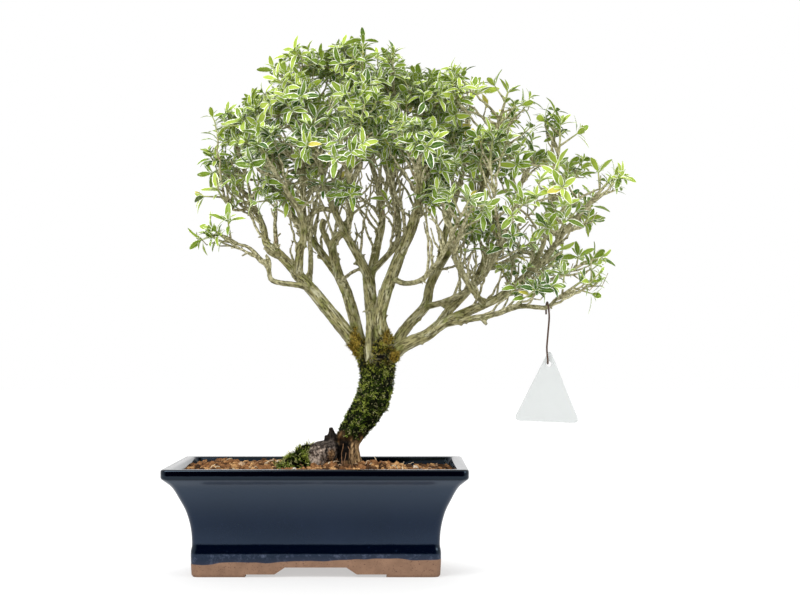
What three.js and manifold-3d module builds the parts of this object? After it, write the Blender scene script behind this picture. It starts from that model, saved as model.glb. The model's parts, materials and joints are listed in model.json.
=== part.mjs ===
// Serissa bonsai in a glazed rectangular pot, with a hanging plate tag.
// Millimetres, +Z up, +Y to the back. Every length below is measured from the point on the floor
// under the middle of the pot; the last lines move the origin under the middle of the whole part.
import * as THREE from "three";
import { mergeVertices } from "three/addons/utils/BufferGeometryUtils.js";
import Module from "manifold-3d";

const wasm = await Module();
wasm.setup();

// Driving dimensions
const GAP = 0.3;
const POT = {
  halfX: 131.5,
  halfY: 95,
  height: 94,
  corner: 6,
  cornerSteps: 2,
  floor: 17,
  underside: 8.5,
  footWidth: 12,
};
// Each ring of the pot: height, then how far it lies inside the edge of the rim
const POT_OUTSIDE = [
  [0, 25.2], [1.6, 24], [20, 23.2], [28, 24.2], [42, 23.2], [56, 19.8],
  [67, 14.8], [78, 8.8], [85, 1.4], [87, 0], [93, 0], [POT.height, 1],
];
const POT_INSIDE = [
  [POT.height, 9.4], [92.5, 10.2], [87, 12], [78, 16.5], [67, 22.5], [56, 27.5], [43, 31], [POT.floor, 32],
];
const FOOT_STEP = 2.5;
const FRONT_NOTCH = { flat: 61, step: 35.5, gap: 26.5 };
const SIDE_NOTCH = { flat: 41, step: 24, gap: 17 };
const DRAIN = { x: 45, radius: 11, sides: 14 };
const WIRE_HOLE = { y: 24, radius: 2.2, sides: 8 };
const ANCHOR = { radius: 1, sides: 8, top: 52, shoulderY: 21, shoulder: 4.4, lowY: 10, low: 3.6 };
const MESH_TILE = { half: 17, thick: 1.2, hole: 11, pitch: 14 };
const SOIL = { edge: 86.5, mound: 7.5, moundReach: 52, grain: 15, relief: 3.4, headroom: 9, seed: 5 };
const MOSS = {
  x: -22, y: -2, radiusX: 19, radiusY: 19, sides: 14, bottom: 84.5, height: 32,
  slope: 0.22, lean: 9, leanFrom: 0.3, relief: 3, headroom: 30, seed: 9,
};
// Waves of the mound's outline: how many go round, how deep they are, where they start
const MOSS_WAVES = [[3, 0.07, 1], [5, 0.05, 0]];
// Each layer of the mound: how wide it spreads, how high it lies, how rough it is
const MOSS_LAYERS = [
  [1, 0, 0], [1, 0.16, 0.3], [0.86, 0.5, 1], [0.62, 0.78, 1], [0.36, 0.94, 1], [0.12, 1, 0.6],
];
const LEAF = {
  length: 17, width: 0.42, thick: 0.9, arch: -0.26, rise: 0.1, fold: 1.2,
  wander: 14, smallest: 0.88, spread: 0.24, rootOut: 0.7, boxHalf: 1.9, boxSag: 0.05,
};
// Half widths along a leaf: how far from its root, and what share of its width
const LEAF_SECTIONS = [[0.36, 0.46], [0.72, 0.42]];
// The four leaves round a tip: a wide pair and, square to it, a steeper pair
const LEAF_PAIRS = [{ pitch: 68, size: 1 }, { pitch: 42, size: 0.88 }];
// Where a leaf has no room it is tilted by some degrees, or is smaller, or is left out
const LEAF_TRIES = [[0, 1], [14, 0.94], [-16, 0.94], [0, 0.78], [24, 0.72], [-26, 0.72]];
const STEM = {
  count: 45, radius: 1.5, sideScale: 0.85, budScale: 0.8, seat: 0.35, whorl: 2.3, bud: 2.4, fork: 2.6,
  straight: 23, knee: 6.5, clearOf: 5, bend: 0.12, upright: 0.5, shortest: 10, swing: 1.5, tries: 26,
};
// The stems that go on from a branch's tip: their length, and how they lean between branch and crown
const TIP_STEM = { length: 27, onward: 0.75, outward: 0.5, upright: 0.35 };
// What counts against a seat for a stem: its distance, less where it points and rises, and its neighbours
const SEAT = { away: 1.9, along: 0.5, rise: 0.4, crowdReach: 12, crowd: 70, onward: 0.7, outward: 0.8 };
// Side twigs of a stem: how far behind its tip they stand, and how long they are
const SIDE_TWIGS = [{ back: 20, length: 20 }, { back: 9, length: 18 }];
const TWIG = { onward: 0.62, outward: 0.8, firstTurn: 0.25, tries: 6, clearOf: 1 };
const TAG = {
  x: 203, y: -50, top: 194, width: 55, height: 60, rounding: 6.4, thick: 0.8,
  hole: 2.2, holeDrop: 10.5, turn: -2.5, clearOf: 3,
};
const TAG_WIRE = { radius: 0.8, sides: 6 };
// The tag's wire, from its hook behind the branch down to the loop through the tag
const TAG_WIRE_POINTS = [
  [201, -45.6, 227], [201, -45.8, 232], [201.2, -47, 236.2], [201.6, -50, 237.6], [202, -53.4, 235.6],
  [203, -54.2, 225], [202, -53.6, 211], [201, -53.2, 198], [201.6, -52.6, 189], [202, -51.6, 185],
  [202, -50, 183.9], [202, -48.2, 184.8], [202, -47.4, 189], [202.4, -47.2, 193],
];

// The tree's skeleton: radii from root to tip, the number of sides, and the points of each centre line
const WOOD = {
  trunk: { radii: [13, 11.8, 10.5, 10.8, 11.4, 12.7, 13.8, 14.8, 14, 16.7, 17, 11], sides: 10, line: [
    [26, 0, 69], [25, 0, 94], [25, 0, 106], [26, 0, 115], [31, 1, 124], [37, 2, 133], [44, 2, 143],
    [49, 1, 153], [52, 0, 169], [52, 0, 184], [51, 0, 194], [51, 0, 202]
  ] },
  root_right: { radii: [5, 5, 5.2, 6], sides: 7, line: [
    [30.5, -2, 117], [31.2, -4, 104], [34, -7, 92], [36, -10, 75]
  ] },
  root_front: { radii: [6, 6, 8], sides: 6, line: [
    [28, -5, 111], [25, -15, 97], [20, -25, 81]
  ] },
  root_back: { radii: [6, 6, 8], sides: 6, line: [
    [29, 5, 111], [31, 16, 97], [35, 27, 81]
  ] },
  stump: { radii: [7, 9.5, 10, 8], sides: 8, line: [
    [22, 0, 106], [9, -2, 105], [-1, -2, 102], [-9, -2, 84]
  ] },
  snag_tall: { radii: [4.4, 3.3, 2.1], sides: 6, line: [
    [14.5, -3, 107], [12, -3, 118], [10.2, -3, 126]
  ] },
  snag_short: { radii: [3, 1.2], sides: 5, line: [
    [8, -4, 105], [6.3, -4, 119.5]
  ] },
  A: { radii: [7, 5], sides: 6, line: [
    [47, -2, 185], [35, -6, 198], [22, -10, 215], [8, -14, 232], [-5, -17, 248], [-21, -20, 265]
  ] },
  A1: { radii: [3, 1.6], line: [
    [-6, -17, 249], [-16, -25, 253], [-40, -35, 257], [-44, -38, 268], [-59, -40, 285], [-70, -43, 289]
  ] },
  A2: { radii: [4.6, 2], line: [
    [-19, -20, 264], [-37, -10, 283], [-48, 0, 292], [-52, 10, 308], [-63, 22, 330], [-77, 32, 347]
  ] },
  A3: { radii: [4.2, 2], line: [
    [-18, -20, 263], [-16, -34, 282], [-12, -45, 297], [-15, -58, 316], [-26, -72, 334], [-34, -84, 348]
  ] },
  A4: { radii: [2.8, 1.7], line: [
    [-9, -17, 252], [-8, 0, 275], [-11, 22, 299], [-22, 48, 330], [-38, 68, 363]
  ] },
  B: { radii: [6, 4.8], sides: 6, line: [
    [47, 4, 185], [36, 8, 205], [31, 12, 225], [24, 16, 248], [17, 18, 263]
  ] },
  B1: { radii: [4, 2], line: [
    [18, 18, 261], [4, 26, 280], [-11, 36, 300], [-30, 48, 324], [-51, 58, 354], [-62, 62, 381]
  ] },
  B2: { radii: [4.5, 2.2], line: [
    [18, 18, 260], [12, 6, 283], [13, -4, 293], [25, -20, 306], [30, -42, 323], [29, -66, 341],
    [26, -84, 354]
  ] },
  B3: { radii: [3, 2.7], line: [
    [12, 8, 285], [7, 4, 294], [2, 2, 307], [4, 2, 314]
  ] },
  B4: { radii: [3, 1.8], line: [
    [-10, 36, 298], [-16, 30, 321], [-16, 22, 349], [-18, 14, 382], [-24, 8, 412], [-28, 5, 425]
  ] },
  C: { radii: [7, 5.5], sides: 6, line: [
    [53, 0, 185], [50, 2, 205], [48, 4, 225], [46, 6, 243], [44, 8, 263]
  ] },
  C1: { radii: [4.6, 2], line: [
    [45, 8, 259], [37, 0, 277], [30, -10, 289], [22, -24, 303], [14, -38, 321], [6, -56, 344],
    [2, -70, 365]
  ] },
  C2: { radii: [4.6, 2], line: [
    [45, 8, 259], [49, 20, 278], [52, 32, 293], [56, 46, 316], [52, 64, 348], [44, 80, 377],
    [36, 90, 399]
  ] },
  C3: { radii: [3, 1.8], line: [
    [47, 10, 266], [62, 2, 282], [70, -4, 292], [71, -10, 317], [62, -12, 353], [49, -10, 389],
    [38, -8, 419], [33, -8, 434]
  ] },
  D: { radii: [7, 5], sides: 6, line: [
    [58, -2, 185], [55, -4, 205], [54, -6, 225], [59, -9, 245], [67, -12, 266], [74, -16, 285]
  ] },
  D1: { radii: [4.6, 2], line: [
    [74, -16, 283], [82, -32, 304], [88, -52, 324], [90, -72, 344], [88, -88, 360]
  ] },
  D2: { radii: [4, 2], line: [
    [74, -16, 283], [84, -2, 304], [91, 14, 330], [95, 30, 365], [95, 38, 401], [91, 42, 423]
  ] },
  D3: { radii: [2.8, 1.7], line: [
    [66, -11, 260], [77, -24, 255], [92, -40, 258], [106, -58, 273], [116, -76, 291], [122, -90, 305]
  ] },
  E: { radii: [5.4, 4], sides: 6, line: [
    [62, 0, 186], [71, 4, 205], [81, 8, 219], [96, 14, 236], [100, 18, 254], [109, 22, 273]
  ] },
  E1: { radii: [3.6, 2], line: [
    [108, 22, 271], [112, 34, 291], [118, 50, 317], [129, 66, 351], [135, 76, 383], [138, 81, 419]
  ] },
  E2: { radii: [3.6, 2], line: [
    [109, 22, 272], [124, 14, 296], [140, 4, 324], [152, -6, 356], [159, -10, 384], [162, -12, 402]
  ] },
  E3: { radii: [3.2, 1.8], line: [
    [96, 14, 235], [109, 2, 238], [126, -14, 245], [144, -30, 258], [158, -48, 280], [166, -64, 302]
  ] },
  F: { radii: [6.4, 5], sides: 6, line: [
    [58, -2, 183], [73, -6, 197], [85, -10, 204], [97, -12, 209], [109, -14, 219]
  ] },
  F1: { radii: [4.4, 2], line: [
    [106, -14, 216], [116, -6, 230], [134, 10, 249], [150, 28, 270], [166, 46, 298], [179, 60, 328],
    [188, 68, 355]
  ] },
  F2: { radii: [4.8, 2], line: [
    [106, -14, 216], [120, -18, 224], [147, -24, 236], [163, -26, 244], [185, -28, 262], [202, -30, 278],
    [220, -32, 302], [245, -35, 331]
  ] },
  F3: { radii: [3, 2], line: [
    [149, -24, 235], [138, -36, 247], [126, -50, 265], [120, -62, 279], [126, -78, 301]
  ] },
  F4: { radii: [3.4, 1.8], line: [
    [109, -14, 218], [128, -26, 222], [146, -38, 225], [159, -44, 228], [178, -48, 234], [201, -50, 233],
    [209, -50, 240]
  ] },
  F5: { radii: [2.8, 1.6], line: [
    [162, -26, 244], [182, -12, 249], [207, 4, 258], [227, 12, 267]
  ] },
  F6: { radii: [2.8, 1.6], line: [
    [185, -28, 262], [199, -14, 285], [208, 0, 313], [214, 10, 339]
  ] },
  F7: { radii: [2.6, 1.6], line: [
    [150, 28, 270], [170, 44, 277], [194, 58, 294], [212, 68, 312]
  ] },
};
const BRANCH_SIDES = 5;
const UNDERGROUND = ["trunk", "root_right", "root_front", "root_back", "stump"];
// Wood that carries no leafy stem
const BARE = ["trunk", "root_right", "root_front", "root_back", "stump", "snag_tall", "snag_short",
  "A", "B", "B3", "C", "D", "E", "F"];

// The crown: two domes that the leafy stems reach out to
const DOMES = [
  { centre: [23, 0, 341], radius: [137, 112, 140], lowest: -0.3, places: 120, start: 0 },
  { centre: [165, 0, 330], radius: [101, 90, 113], lowest: -0.74, places: 90, start: 1.1 },
];
const DOME_TUCK = 0.84;
const DOME_OVERLAP = 0.9;
// The crown's underside: highest over the trunk, it falls off to both sides with the square of the distance
const UNDERSIDE = { x: 30, height: 382, fall: 0.0034 };
const CROWN_CENTRE = [60, 0, 293];
const CROWN_SEED = 11;

const UP = new THREE.Vector3(0, 0, 1);
const GOLDEN_ANGLE = Math.PI * (3 - Math.sqrt(5));

// Small helpers for vectors and chance
const vec = (x, y, z) => new THREE.Vector3(x, y, z);
const at = (p) => new THREE.Vector3(...p);
const step = (p, direction, length) => p.clone().addScaledVector(direction, length);
const between = (p, q) => q.clone().sub(p).normalize();
const cross = (a, b) => new THREE.Vector3().crossVectors(a, b);
const turned = (v, axis, angle) => v.clone().applyAxisAngle(axis, angle);
const blend = (a, shareA, b, shareB) => (
  a.clone().multiplyScalar(shareA).addScaledVector(b, shareB).normalize());
const mix = (a, b, t) => a + (b - a) * t;

function mulberry(seed) {
  let state = seed;
  return () => {
    state = (state + 0x6d2b79f5) | 0;
    let t = Math.imul(state ^ (state >>> 15), state | 1);
    t ^= t + Math.imul(t ^ (t >>> 7), t | 61);
    return ((t ^ (t >>> 14)) >>> 0) / 4294967296;
  };
}

// A direction square to another one, as level as it can be
function squareTo(direction) {
  const side = Math.abs(direction.z) < 0.95 ? cross(direction, UP) : vec(1, 0, 0);
  return side.addScaledVector(direction, -side.dot(direction)).normalize();
}

// Solids: from points and triangles, from three.js geometry, and back
function bodyFrom(points, triangles) {
  const geometry = new THREE.BufferGeometry();
  geometry.setAttribute("position", new THREE.Float32BufferAttribute(points.flatMap((p) => p.toArray()), 3));
  geometry.setIndex(triangles.flat());
  return geometry;
}

function solid(geometry) {
  geometry.deleteAttribute("normal");
  geometry.deleteAttribute("uv");
  const merged = mergeVertices(geometry, 1e-4);
  return new wasm.Manifold(new wasm.Mesh({
    numProp: 3,
    vertProperties: new Float32Array(merged.attributes.position.array),
    triVerts: new Uint32Array(merged.index.array),
  }));
}

function geometryOf(manifold) {
  const { vertProperties, triVerts } = manifold.getMesh();
  const geometry = new THREE.BufferGeometry();
  geometry.setAttribute("position", new THREE.BufferAttribute(vertProperties, 3));
  geometry.setIndex(new THREE.BufferAttribute(triVerts, 1));
  return geometry;
}

const joined = (solids) => solids.reduce((whole, piece) => whole.add(piece));

// A body through rings of points that all run the same way round, with flat ends
function loft(rings) {
  const count = rings[0].length;
  const last = (rings.length - 1) * count;
  const triangles = [];
  for (let k = 0; k < rings.length - 1; k += 1) {
    for (let i = 0; i < count; i += 1) {
      const j = (i + 1) % count;
      const [a, b] = [k * count + i, k * count + j];
      triangles.push([a, b, b + count], [a, b + count, a + count]);
    }
  }
  for (let i = 1; i < count - 1; i += 1) {
    triangles.push([0, i + 1, i], [last, last + i, last + i + 1]);
  }
  return bodyFrom(rings.flat(), triangles);
}

// The direction of a line at each of its points
function directionsAlong(line) {
  return line.map((p, i) => between(line[Math.max(i - 1, 0)], line[Math.min(i + 1, line.length - 1)]));
}

// A tube whose radius changes from point to point
function tube(line, radii, sides) {
  const directions = directionsAlong(line);
  let side = squareTo(directions[0]);
  const rings = line.map((p, i) => {
    side = side.addScaledVector(directions[i], -side.dot(directions[i])).normalize();
    const other = cross(directions[i], side);
    return Array.from({ length: sides }, (_, n) => {
      const angle = (2 * Math.PI * n) / sides;
      return step(step(p, side, radii[i] * Math.cos(angle)), other, radii[i] * Math.sin(angle));
    });
  });
  return loft(rings);
}

// The radius at each point of a piece of wood: given in full, or from root to tip
function radiiOf({ radii, line }) {
  if (radii.length === line.length) return radii;
  return line.map((_, i) => mix(radii[0], radii[1], i / (line.length - 1)));
}

// A straight bar of a flat outline, from one height to another
function prism(outline, low, high, steps = 1) {
  const shape = new THREE.Shape(outline.map(([x, y]) => new THREE.Vector2(x, y)));
  const bar = new THREE.ExtrudeGeometry(shape, { depth: high - low, steps, bevelEnabled: false });
  return bar.translate(0, 0, low);
}

function disc(x, y, radius, low, high, sides) {
  const outline = Array.from({ length: sides }, (_, n) => {
    const angle = (2 * Math.PI * n) / sides;
    return [x + radius * Math.cos(angle), y + radius * Math.sin(angle)];
  });
  return prism(outline, low, high);
}

// Pot
function potRing([height, inset], grow = 0) {
  const { halfX, halfY, corner, cornerSteps } = POT;
  const points = [];
  for (let quarter = 0; quarter < 4; quarter += 1) {
    for (let n = 0; n <= cornerSteps; n += 1) {
      const angle = (Math.PI / 2) * (quarter + n / cornerSteps);
      const signX = quarter === 0 || quarter === 3 ? 1 : -1;
      const signY = quarter < 2 ? 1 : -1;
      points.push(vec(
        signX * (halfX - inset - corner - grow) + corner * Math.cos(angle),
        signY * (halfY - inset - corner - grow) + corner * Math.sin(angle),
        height,
      ));
    }
  }
  return points;
}

function notch({ flat, step: stepped, gap }) {
  return [
    [-flat, -1], [flat, -1], [flat, FOOT_STEP], [stepped, FOOT_STEP],
    [gap, POT.underside], [-gap, POT.underside], [-stepped, FOOT_STEP], [-flat, FOOT_STEP],
  ];
}

function makePot() {
  const body = solid(loft([...POT_OUTSIDE, ...POT_INSIDE].map((ring) => potRing(ring))));
  const recess = POT_OUTSIDE[0][1] + POT.footWidth;
  const under = solid(loft([potRing([-1, recess]), potRing([POT.underside, recess])]));
  const quarter = Math.PI / 2;
  const acrossFront = prism(notch(FRONT_NOTCH), -POT.halfY, POT.halfY).rotateX(quarter);
  const acrossSide = prism(notch(SIDE_NOTCH), -POT.halfX, POT.halfX).rotateX(quarter).rotateZ(quarter);
  const holes = [-1, 1].flatMap((side) => [
    disc(side * DRAIN.x, 0, DRAIN.radius, 0, POT.floor + 1, DRAIN.sides),
    disc(0, side * WIRE_HOLE.y, WIRE_HOLE.radius, 0, POT.floor + 1, WIRE_HOLE.sides),
  ]);
  return body.subtract(joined([under, ...[acrossFront, acrossSide, ...holes].map(solid)]));
}

// Drainage mesh: a square of plastic with rows of square holes
function makeDrainMesh(x) {
  const { half, thick, hole, pitch } = MESH_TILE;
  const square = (cx, cy, size) => [
    [cx - size, cy - size], [cx + size, cy - size], [cx + size, cy + size], [cx - size, cy + size]];
  const low = POT.floor + GAP;
  const holes = [-0.5, 0.5].flatMap((i) => [-0.5, 0.5].map((j) => (
    solid(prism(square(x + i * pitch, j * pitch, hole / 2), low - 1, low + thick + 1)))));
  return solid(prism(square(x, 0, half), low, low + thick)).subtract(joined(holes));
}

// Anchor wire: down through one hole in the floor, under it and up through the other
function anchorTube(radius) {
  const half = [
    [WIRE_HOLE.y, ANCHOR.top], [WIRE_HOLE.y, POT.underside], [ANCHOR.shoulderY, ANCHOR.shoulder],
    [ANCHOR.lowY, ANCHOR.low],
  ];
  const line = [...half.map(([y, z]) => vec(0, -y, z)), ...half.reverse().map(([y, z]) => vec(0, y, z))];
  return tube(line, line.map(() => radius), ANCHOR.sides);
}

// Wood
const SKELETON = Object.entries(WOOD).map(([name, piece]) => ({
  name, line: piece.line.map(at), radii: radiiOf(piece), sides: piece.sides ?? BRANCH_SIDES }));

function makeWood() {
  return joined(SKELETON.map(({ line, radii, sides }) => solid(tube(line, radii, sides))));
}

function woodGrownBy(gap) {
  const buried = SKELETON.filter(({ name }) => UNDERGROUND.includes(name));
  return joined(buried.map(({ line, radii, sides }) => {
    const directions = directionsAlong(line);
    const [first, last] = [step(line[0], directions[0], -gap), step(line.at(-1), directions.at(-1), gap)];
    const longer = [first, ...line.slice(1, -1), last];
    const room = gap / Math.cos(Math.PI / sides);
    return solid(tube(longer, radii.map((radius) => radius + room), sides));
  }));
}

// Moss mound: a low dome of cushions, higher on the side of the stump
function mossOutline(grow) {
  const { x, y, radiusX, radiusY } = MOSS;
  return Array.from({ length: MOSS.sides }, (_, n) => {
    const angle = (2 * Math.PI * n) / MOSS.sides;
    const waves = MOSS_WAVES.map(([count, depth, start]) => depth * Math.sin(count * angle + start));
    const wave = waves.reduce((sum, height) => sum + height, 1);
    return [x + (radiusX * wave + grow) * Math.cos(angle), y + (radiusY * wave + grow) * Math.sin(angle)];
  });
}

function makeMoss(grownWood) {
  const chance = mulberry(MOSS.seed);
  const outline = mossOutline(0);
  const rings = MOSS_LAYERS.map(([spread, rise, rough]) => outline.map(([px, py]) => {
    const [dx, dy] = [(px - MOSS.x) * spread, (py - MOSS.y) * spread];
    const height = MOSS.height * rise * (1 - MOSS.slope * (dx / MOSS.radiusX - 1) ** 2 * rise);
    const lump = MOSS.relief * (chance() - 0.5) * rough;
    const lean = MOSS.lean * Math.max(0, rise - MOSS.leanFrom);
    return vec(MOSS.x + dx + lean, MOSS.y + dy, MOSS.bottom + height + lump);
  }));
  return solid(loft(rings)).subtract(grownWood);
}

// Soil: fills the pot, its top rough with grains and raised a little towards the trunk
function makeSoil(grownWood) {
  const chance = mulberry(SOIL.seed);
  const [nx, ny] = [Math.round((2 * POT.halfX) / SOIL.grain), Math.round((2 * POT.halfY) / SOIL.grain)];
  const top = [];
  const points = [];
  for (let j = 0; j <= ny; j += 1) {
    for (let i = 0; i <= nx; i += 1) {
      const x = mix(-POT.halfX, POT.halfX, i / nx);
      const y = mix(-POT.halfY, POT.halfY, j / ny);
      const [trunkX, trunkY] = WOOD.trunk.line[0];
      const away = Math.hypot(x - trunkX, y - trunkY) / SOIL.moundReach;
      const height = SOIL.edge + SOIL.mound * Math.exp(-away * away) + SOIL.relief * (chance() - 0.5);
      top.push(points.length);
      points.push(vec(x, y, height), vec(x, y, 0));
    }
  }
  const cell = (i, j) => top[j * (nx + 1) + i];
  const triangles = [];
  for (let j = 0; j < ny; j += 1) {
    for (let i = 0; i < nx; i += 1) {
      const [a, b, c, d] = [cell(i, j), cell(i + 1, j), cell(i + 1, j + 1), cell(i, j + 1)];
      triangles.push([a, b, c], [a, c, d], [a + 1, c + 1, b + 1], [a + 1, d + 1, c + 1]);
    }
  }
  const wall = (a, b) => triangles.push([a + 1, b + 1, b], [a + 1, b, a]);
  for (let i = 0; i < nx; i += 1) {
    wall(cell(i, 0), cell(i + 1, 0));
    wall(cell(i + 1, ny), cell(i, ny));
  }
  for (let j = 0; j < ny; j += 1) {
    wall(cell(nx, j), cell(nx, j + 1));
    wall(cell(0, j + 1), cell(0, j));
  }
  const ground = solid(bodyFrom(points, triangles));
  const [floorInset, rimInset] = [POT_INSIDE.at(-1)[1], POT_INSIDE[1][1]];
  const [lowest, highest] = [POT.floor + GAP, POT.height + SOIL.headroom];
  const room = [[lowest, floorInset], ...POT_INSIDE.slice(2, -1).reverse(), [highest, rimInset]];
  const filling = solid(loft(room.map((ring) => potRing(ring, GAP))));
  const pocket = solid(prism(mossOutline(GAP), MOSS.bottom - GAP, POT.height + MOSS.headroom));
  const [tileWidth, tileHeight] = [2 * (MESH_TILE.half + GAP), 2 * (MESH_TILE.thick + 2 * GAP)];
  const tiles = [-1, 1].map((side) => solid(
    new THREE.BoxGeometry(tileWidth, tileWidth, tileHeight).translate(side * DRAIN.x, 0, POT.floor)));
  const holes = joined([grownWood, pocket, solid(anchorTube(ANCHOR.radius + GAP)), ...tiles]);
  return ground.intersect(filling).subtract(holes);
}

// Tag: a bare three-cornered plate on a bent wire that hooks over a branch
function makeTag() {
  const { width, height, rounding, thick, hole, holeDrop } = TAG;
  const corners = [[0, 0], [-width / 2, -height], [width / 2, -height]]
    .map(([x, z]) => new THREE.Vector2(x, z));
  const shape = new THREE.Shape();
  corners.forEach((tip, n) => {
    const before = corners[(n + 2) % 3].clone().sub(tip).setLength(rounding).add(tip);
    const after = corners[(n + 1) % 3].clone().sub(tip).setLength(rounding).add(tip);
    if (n === 0) shape.moveTo(before.x, before.y);
    else shape.lineTo(before.x, before.y);
    shape.quadraticCurveTo(tip.x, tip.y, after.x, after.y);
  });
  shape.closePath();
  const ring = new THREE.Path().absarc(0, -holeDrop, hole, 0, 2 * Math.PI, true);
  shape.holes.push(ring);
  const plate = new THREE.ExtrudeGeometry(shape, { depth: thick, bevelEnabled: false, curveSegments: 4 })
    .translate(0, 0, -thick / 2)
    .rotateX(Math.PI / 2)
    .rotateY(THREE.MathUtils.degToRad(-TAG.turn))
    .translate(TAG.x, TAG.y, TAG.top);
  return solid(plate);
}

// Leafy stems
// Where the crown's outside has to be filled: places spread evenly over both domes
function insideDome(place, { centre, radius }, scale) {
  const offset = place.clone().sub(at(centre));
  return offset.divide(at(radius)).length() < scale;
}

const undersideAt = (x) => UNDERSIDE.height - UNDERSIDE.fall * (x - UNDERSIDE.x) ** 2;

function crownPlaces() {
  return DOMES.flatMap((dome) => {
    const spots = Array.from({ length: dome.places }, (_, n) => {
      const z = 1 - ((n + 0.5) / dome.places) * (1 - dome.lowest);
      const angle = n * GOLDEN_ANGLE + dome.start;
      const level = Math.sqrt(1 - z * z);
      const offset = vec(level * Math.cos(angle), level * Math.sin(angle), z);
      return at(dome.centre).add(offset.multiply(at(dome.radius)).multiplyScalar(DOME_TUCK));
    });
    const others = DOMES.filter((other) => other !== dome);
    const inOther = (spot) => others.some((other) => insideDome(spot, other, DOME_TUCK * DOME_OVERLAP));
    return spots.filter((spot) => spot.z > undersideAt(spot.x) && !inOther(spot));
  });
}

// One stem goes on from each branch's tip. The rest go, one by one, to the emptiest place of the crown.
function planStems() {
  const branches = SKELETON.filter(({ name }) => !BARE.includes(name));
  const stems = branches.map(({ name, line, radii }) => {
    const tip = line.at(-1);
    const heading = between(line.at(-2), tip);
    const outward = between(at(CROWN_CENTRE), tip);
    const lean = blend(blend(heading, TIP_STEM.onward, outward, TIP_STEM.outward), 1, UP, TIP_STEM.upright);
    return {
      branch: name, onTip: true, heading, normal: heading, goal: step(tip, lean, TIP_STEM.length),
      base: step(tip, heading, STEM.seat), radius: Math.min(radii.at(-1), STEM.radius),
    };
  });
  const places = crownPlaces();
  while (stems.length < STEM.count) {
    const room = (place) => Math.min(...stems.map(({ goal }) => goal.distanceTo(place)));
    const goal = places.reduce((best, place) => (room(place) > room(best) ? place : best));
    stems.push({ goal, radius: STEM.radius, ...bestSeat(goal, branches, stems) });
  }
  return stems;
}

// The spot on a branch that a stem to this goal grows from: near, below it and not taken
function bestSeat(goal, branches, stems) {
  let best = { cost: Infinity };
  for (const { name, line, radii } of branches) {
    for (let i = 1; i < line.length - 1; i += 1) {
      const axis = between(line[i], line[i + 1]);
      const middle = line[i].clone().lerp(line[i + 1], 0.5);
      const radius = (radii[i] + radii[i + 1]) / 2;
      const away = goal.clone().sub(middle);
      const toGoal = away.clone().normalize();
      const crowd = stems.filter(({ base }) => base.distanceTo(middle) < SEAT.crowdReach).length;
      const effort = SEAT.away - SEAT.along * toGoal.dot(axis) - SEAT.rise * toGoal.z;
      const cost = away.length() * effort + SEAT.crowd * crowd;
      if (cost < best.cost) {
        const side = away.addScaledVector(axis, -away.dot(axis)).normalize();
        const heading = blend(axis, SEAT.onward, side, SEAT.outward);
        best = { cost, branch: name, normal: side, heading, base: step(middle, side, radius + STEM.seat) };
      }
    }
  }
  return best;
}

// Room taken so far, as boxes: a piece of stem or a leaf fits where its box meets none of them
const taken = [];

function stemBox(from, to, radius, tag) {
  const axis = between(from, to);
  const side = squareTo(axis);
  return {
    centre: from.clone().lerp(to, 0.5),
    axes: [axis, side, cross(axis, side)],
    half: [from.distanceTo(to) / 2, radius, radius],
    ...tag,
  };
}

function leafBox({ root, along, across, face, length }, tag) {
  return {
    centre: step(step(root, along, length / 2), face, -length * LEAF.boxSag),
    axes: [along, across, face],
    half: [length / 2, length * LEAF.width * LEAF_SECTIONS[0][1], LEAF.boxHalf],
    ...tag,
  };
}

function apart(a, b) {
  const offset = b.centre.clone().sub(a.centre);
  if (offset.length() > Math.hypot(...a.half) + Math.hypot(...b.half)) return true;
  const tests = [...a.axes, ...b.axes, ...a.axes.flatMap((p) => b.axes.map((q) => cross(p, q)))];
  const reach = (box, axis) => (
    box.axes.reduce((sum, edge, i) => sum + Math.abs(edge.dot(axis)) * box.half[i], 0));
  return tests.some((axis) => (
    axis.lengthSq() > 1e-4 && Math.abs(offset.dot(axis)) > reach(a, axis) + reach(b, axis) + GAP));
}

const isFree = (box, skip = () => false) => taken.every((other) => skip(other) || apart(box, other));

// A stem's centre line, swung aside a little more at each try. It stands off its branch before it turns
// to its goal, and its last run is straight and carries the twigs.
function stemLine({ base, goal, heading, onTip }, attempt) {
  const aside = turned(squareTo(heading), heading, attempt * GOLDEN_ANGLE);
  const swing = aside.multiplyScalar(attempt * STEM.swing);
  const end = goal.clone().addScaledVector(swing, 0.5);
  if (onTip) return [base, end];
  const knee = step(base, heading, STEM.knee);
  const length = knee.distanceTo(end);
  if (length < STEM.straight + STEM.shortest) {
    return [base, knee, step(knee, between(knee, end), Math.max(length, STEM.straight))];
  }
  const rising = blend(between(knee, end), 1, UP, STEM.upright);
  const turn = step(end, rising, -STEM.straight).addScaledVector(heading, length * STEM.bend).add(swing);
  return [base, knee, step(end, between(end, turn), Math.max(end.distanceTo(turn), STEM.straight)), end];
}

// The boxes of a stem, from a little above its seat on the branch
function segmentsOf(line, radius, tag) {
  const start = step(line[0], between(line[0], line[1]), STEM.clearOf);
  return line.slice(1).map((p, i) => stemBox(i === 0 ? start : line[i], p, radius, tag));
}

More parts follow.
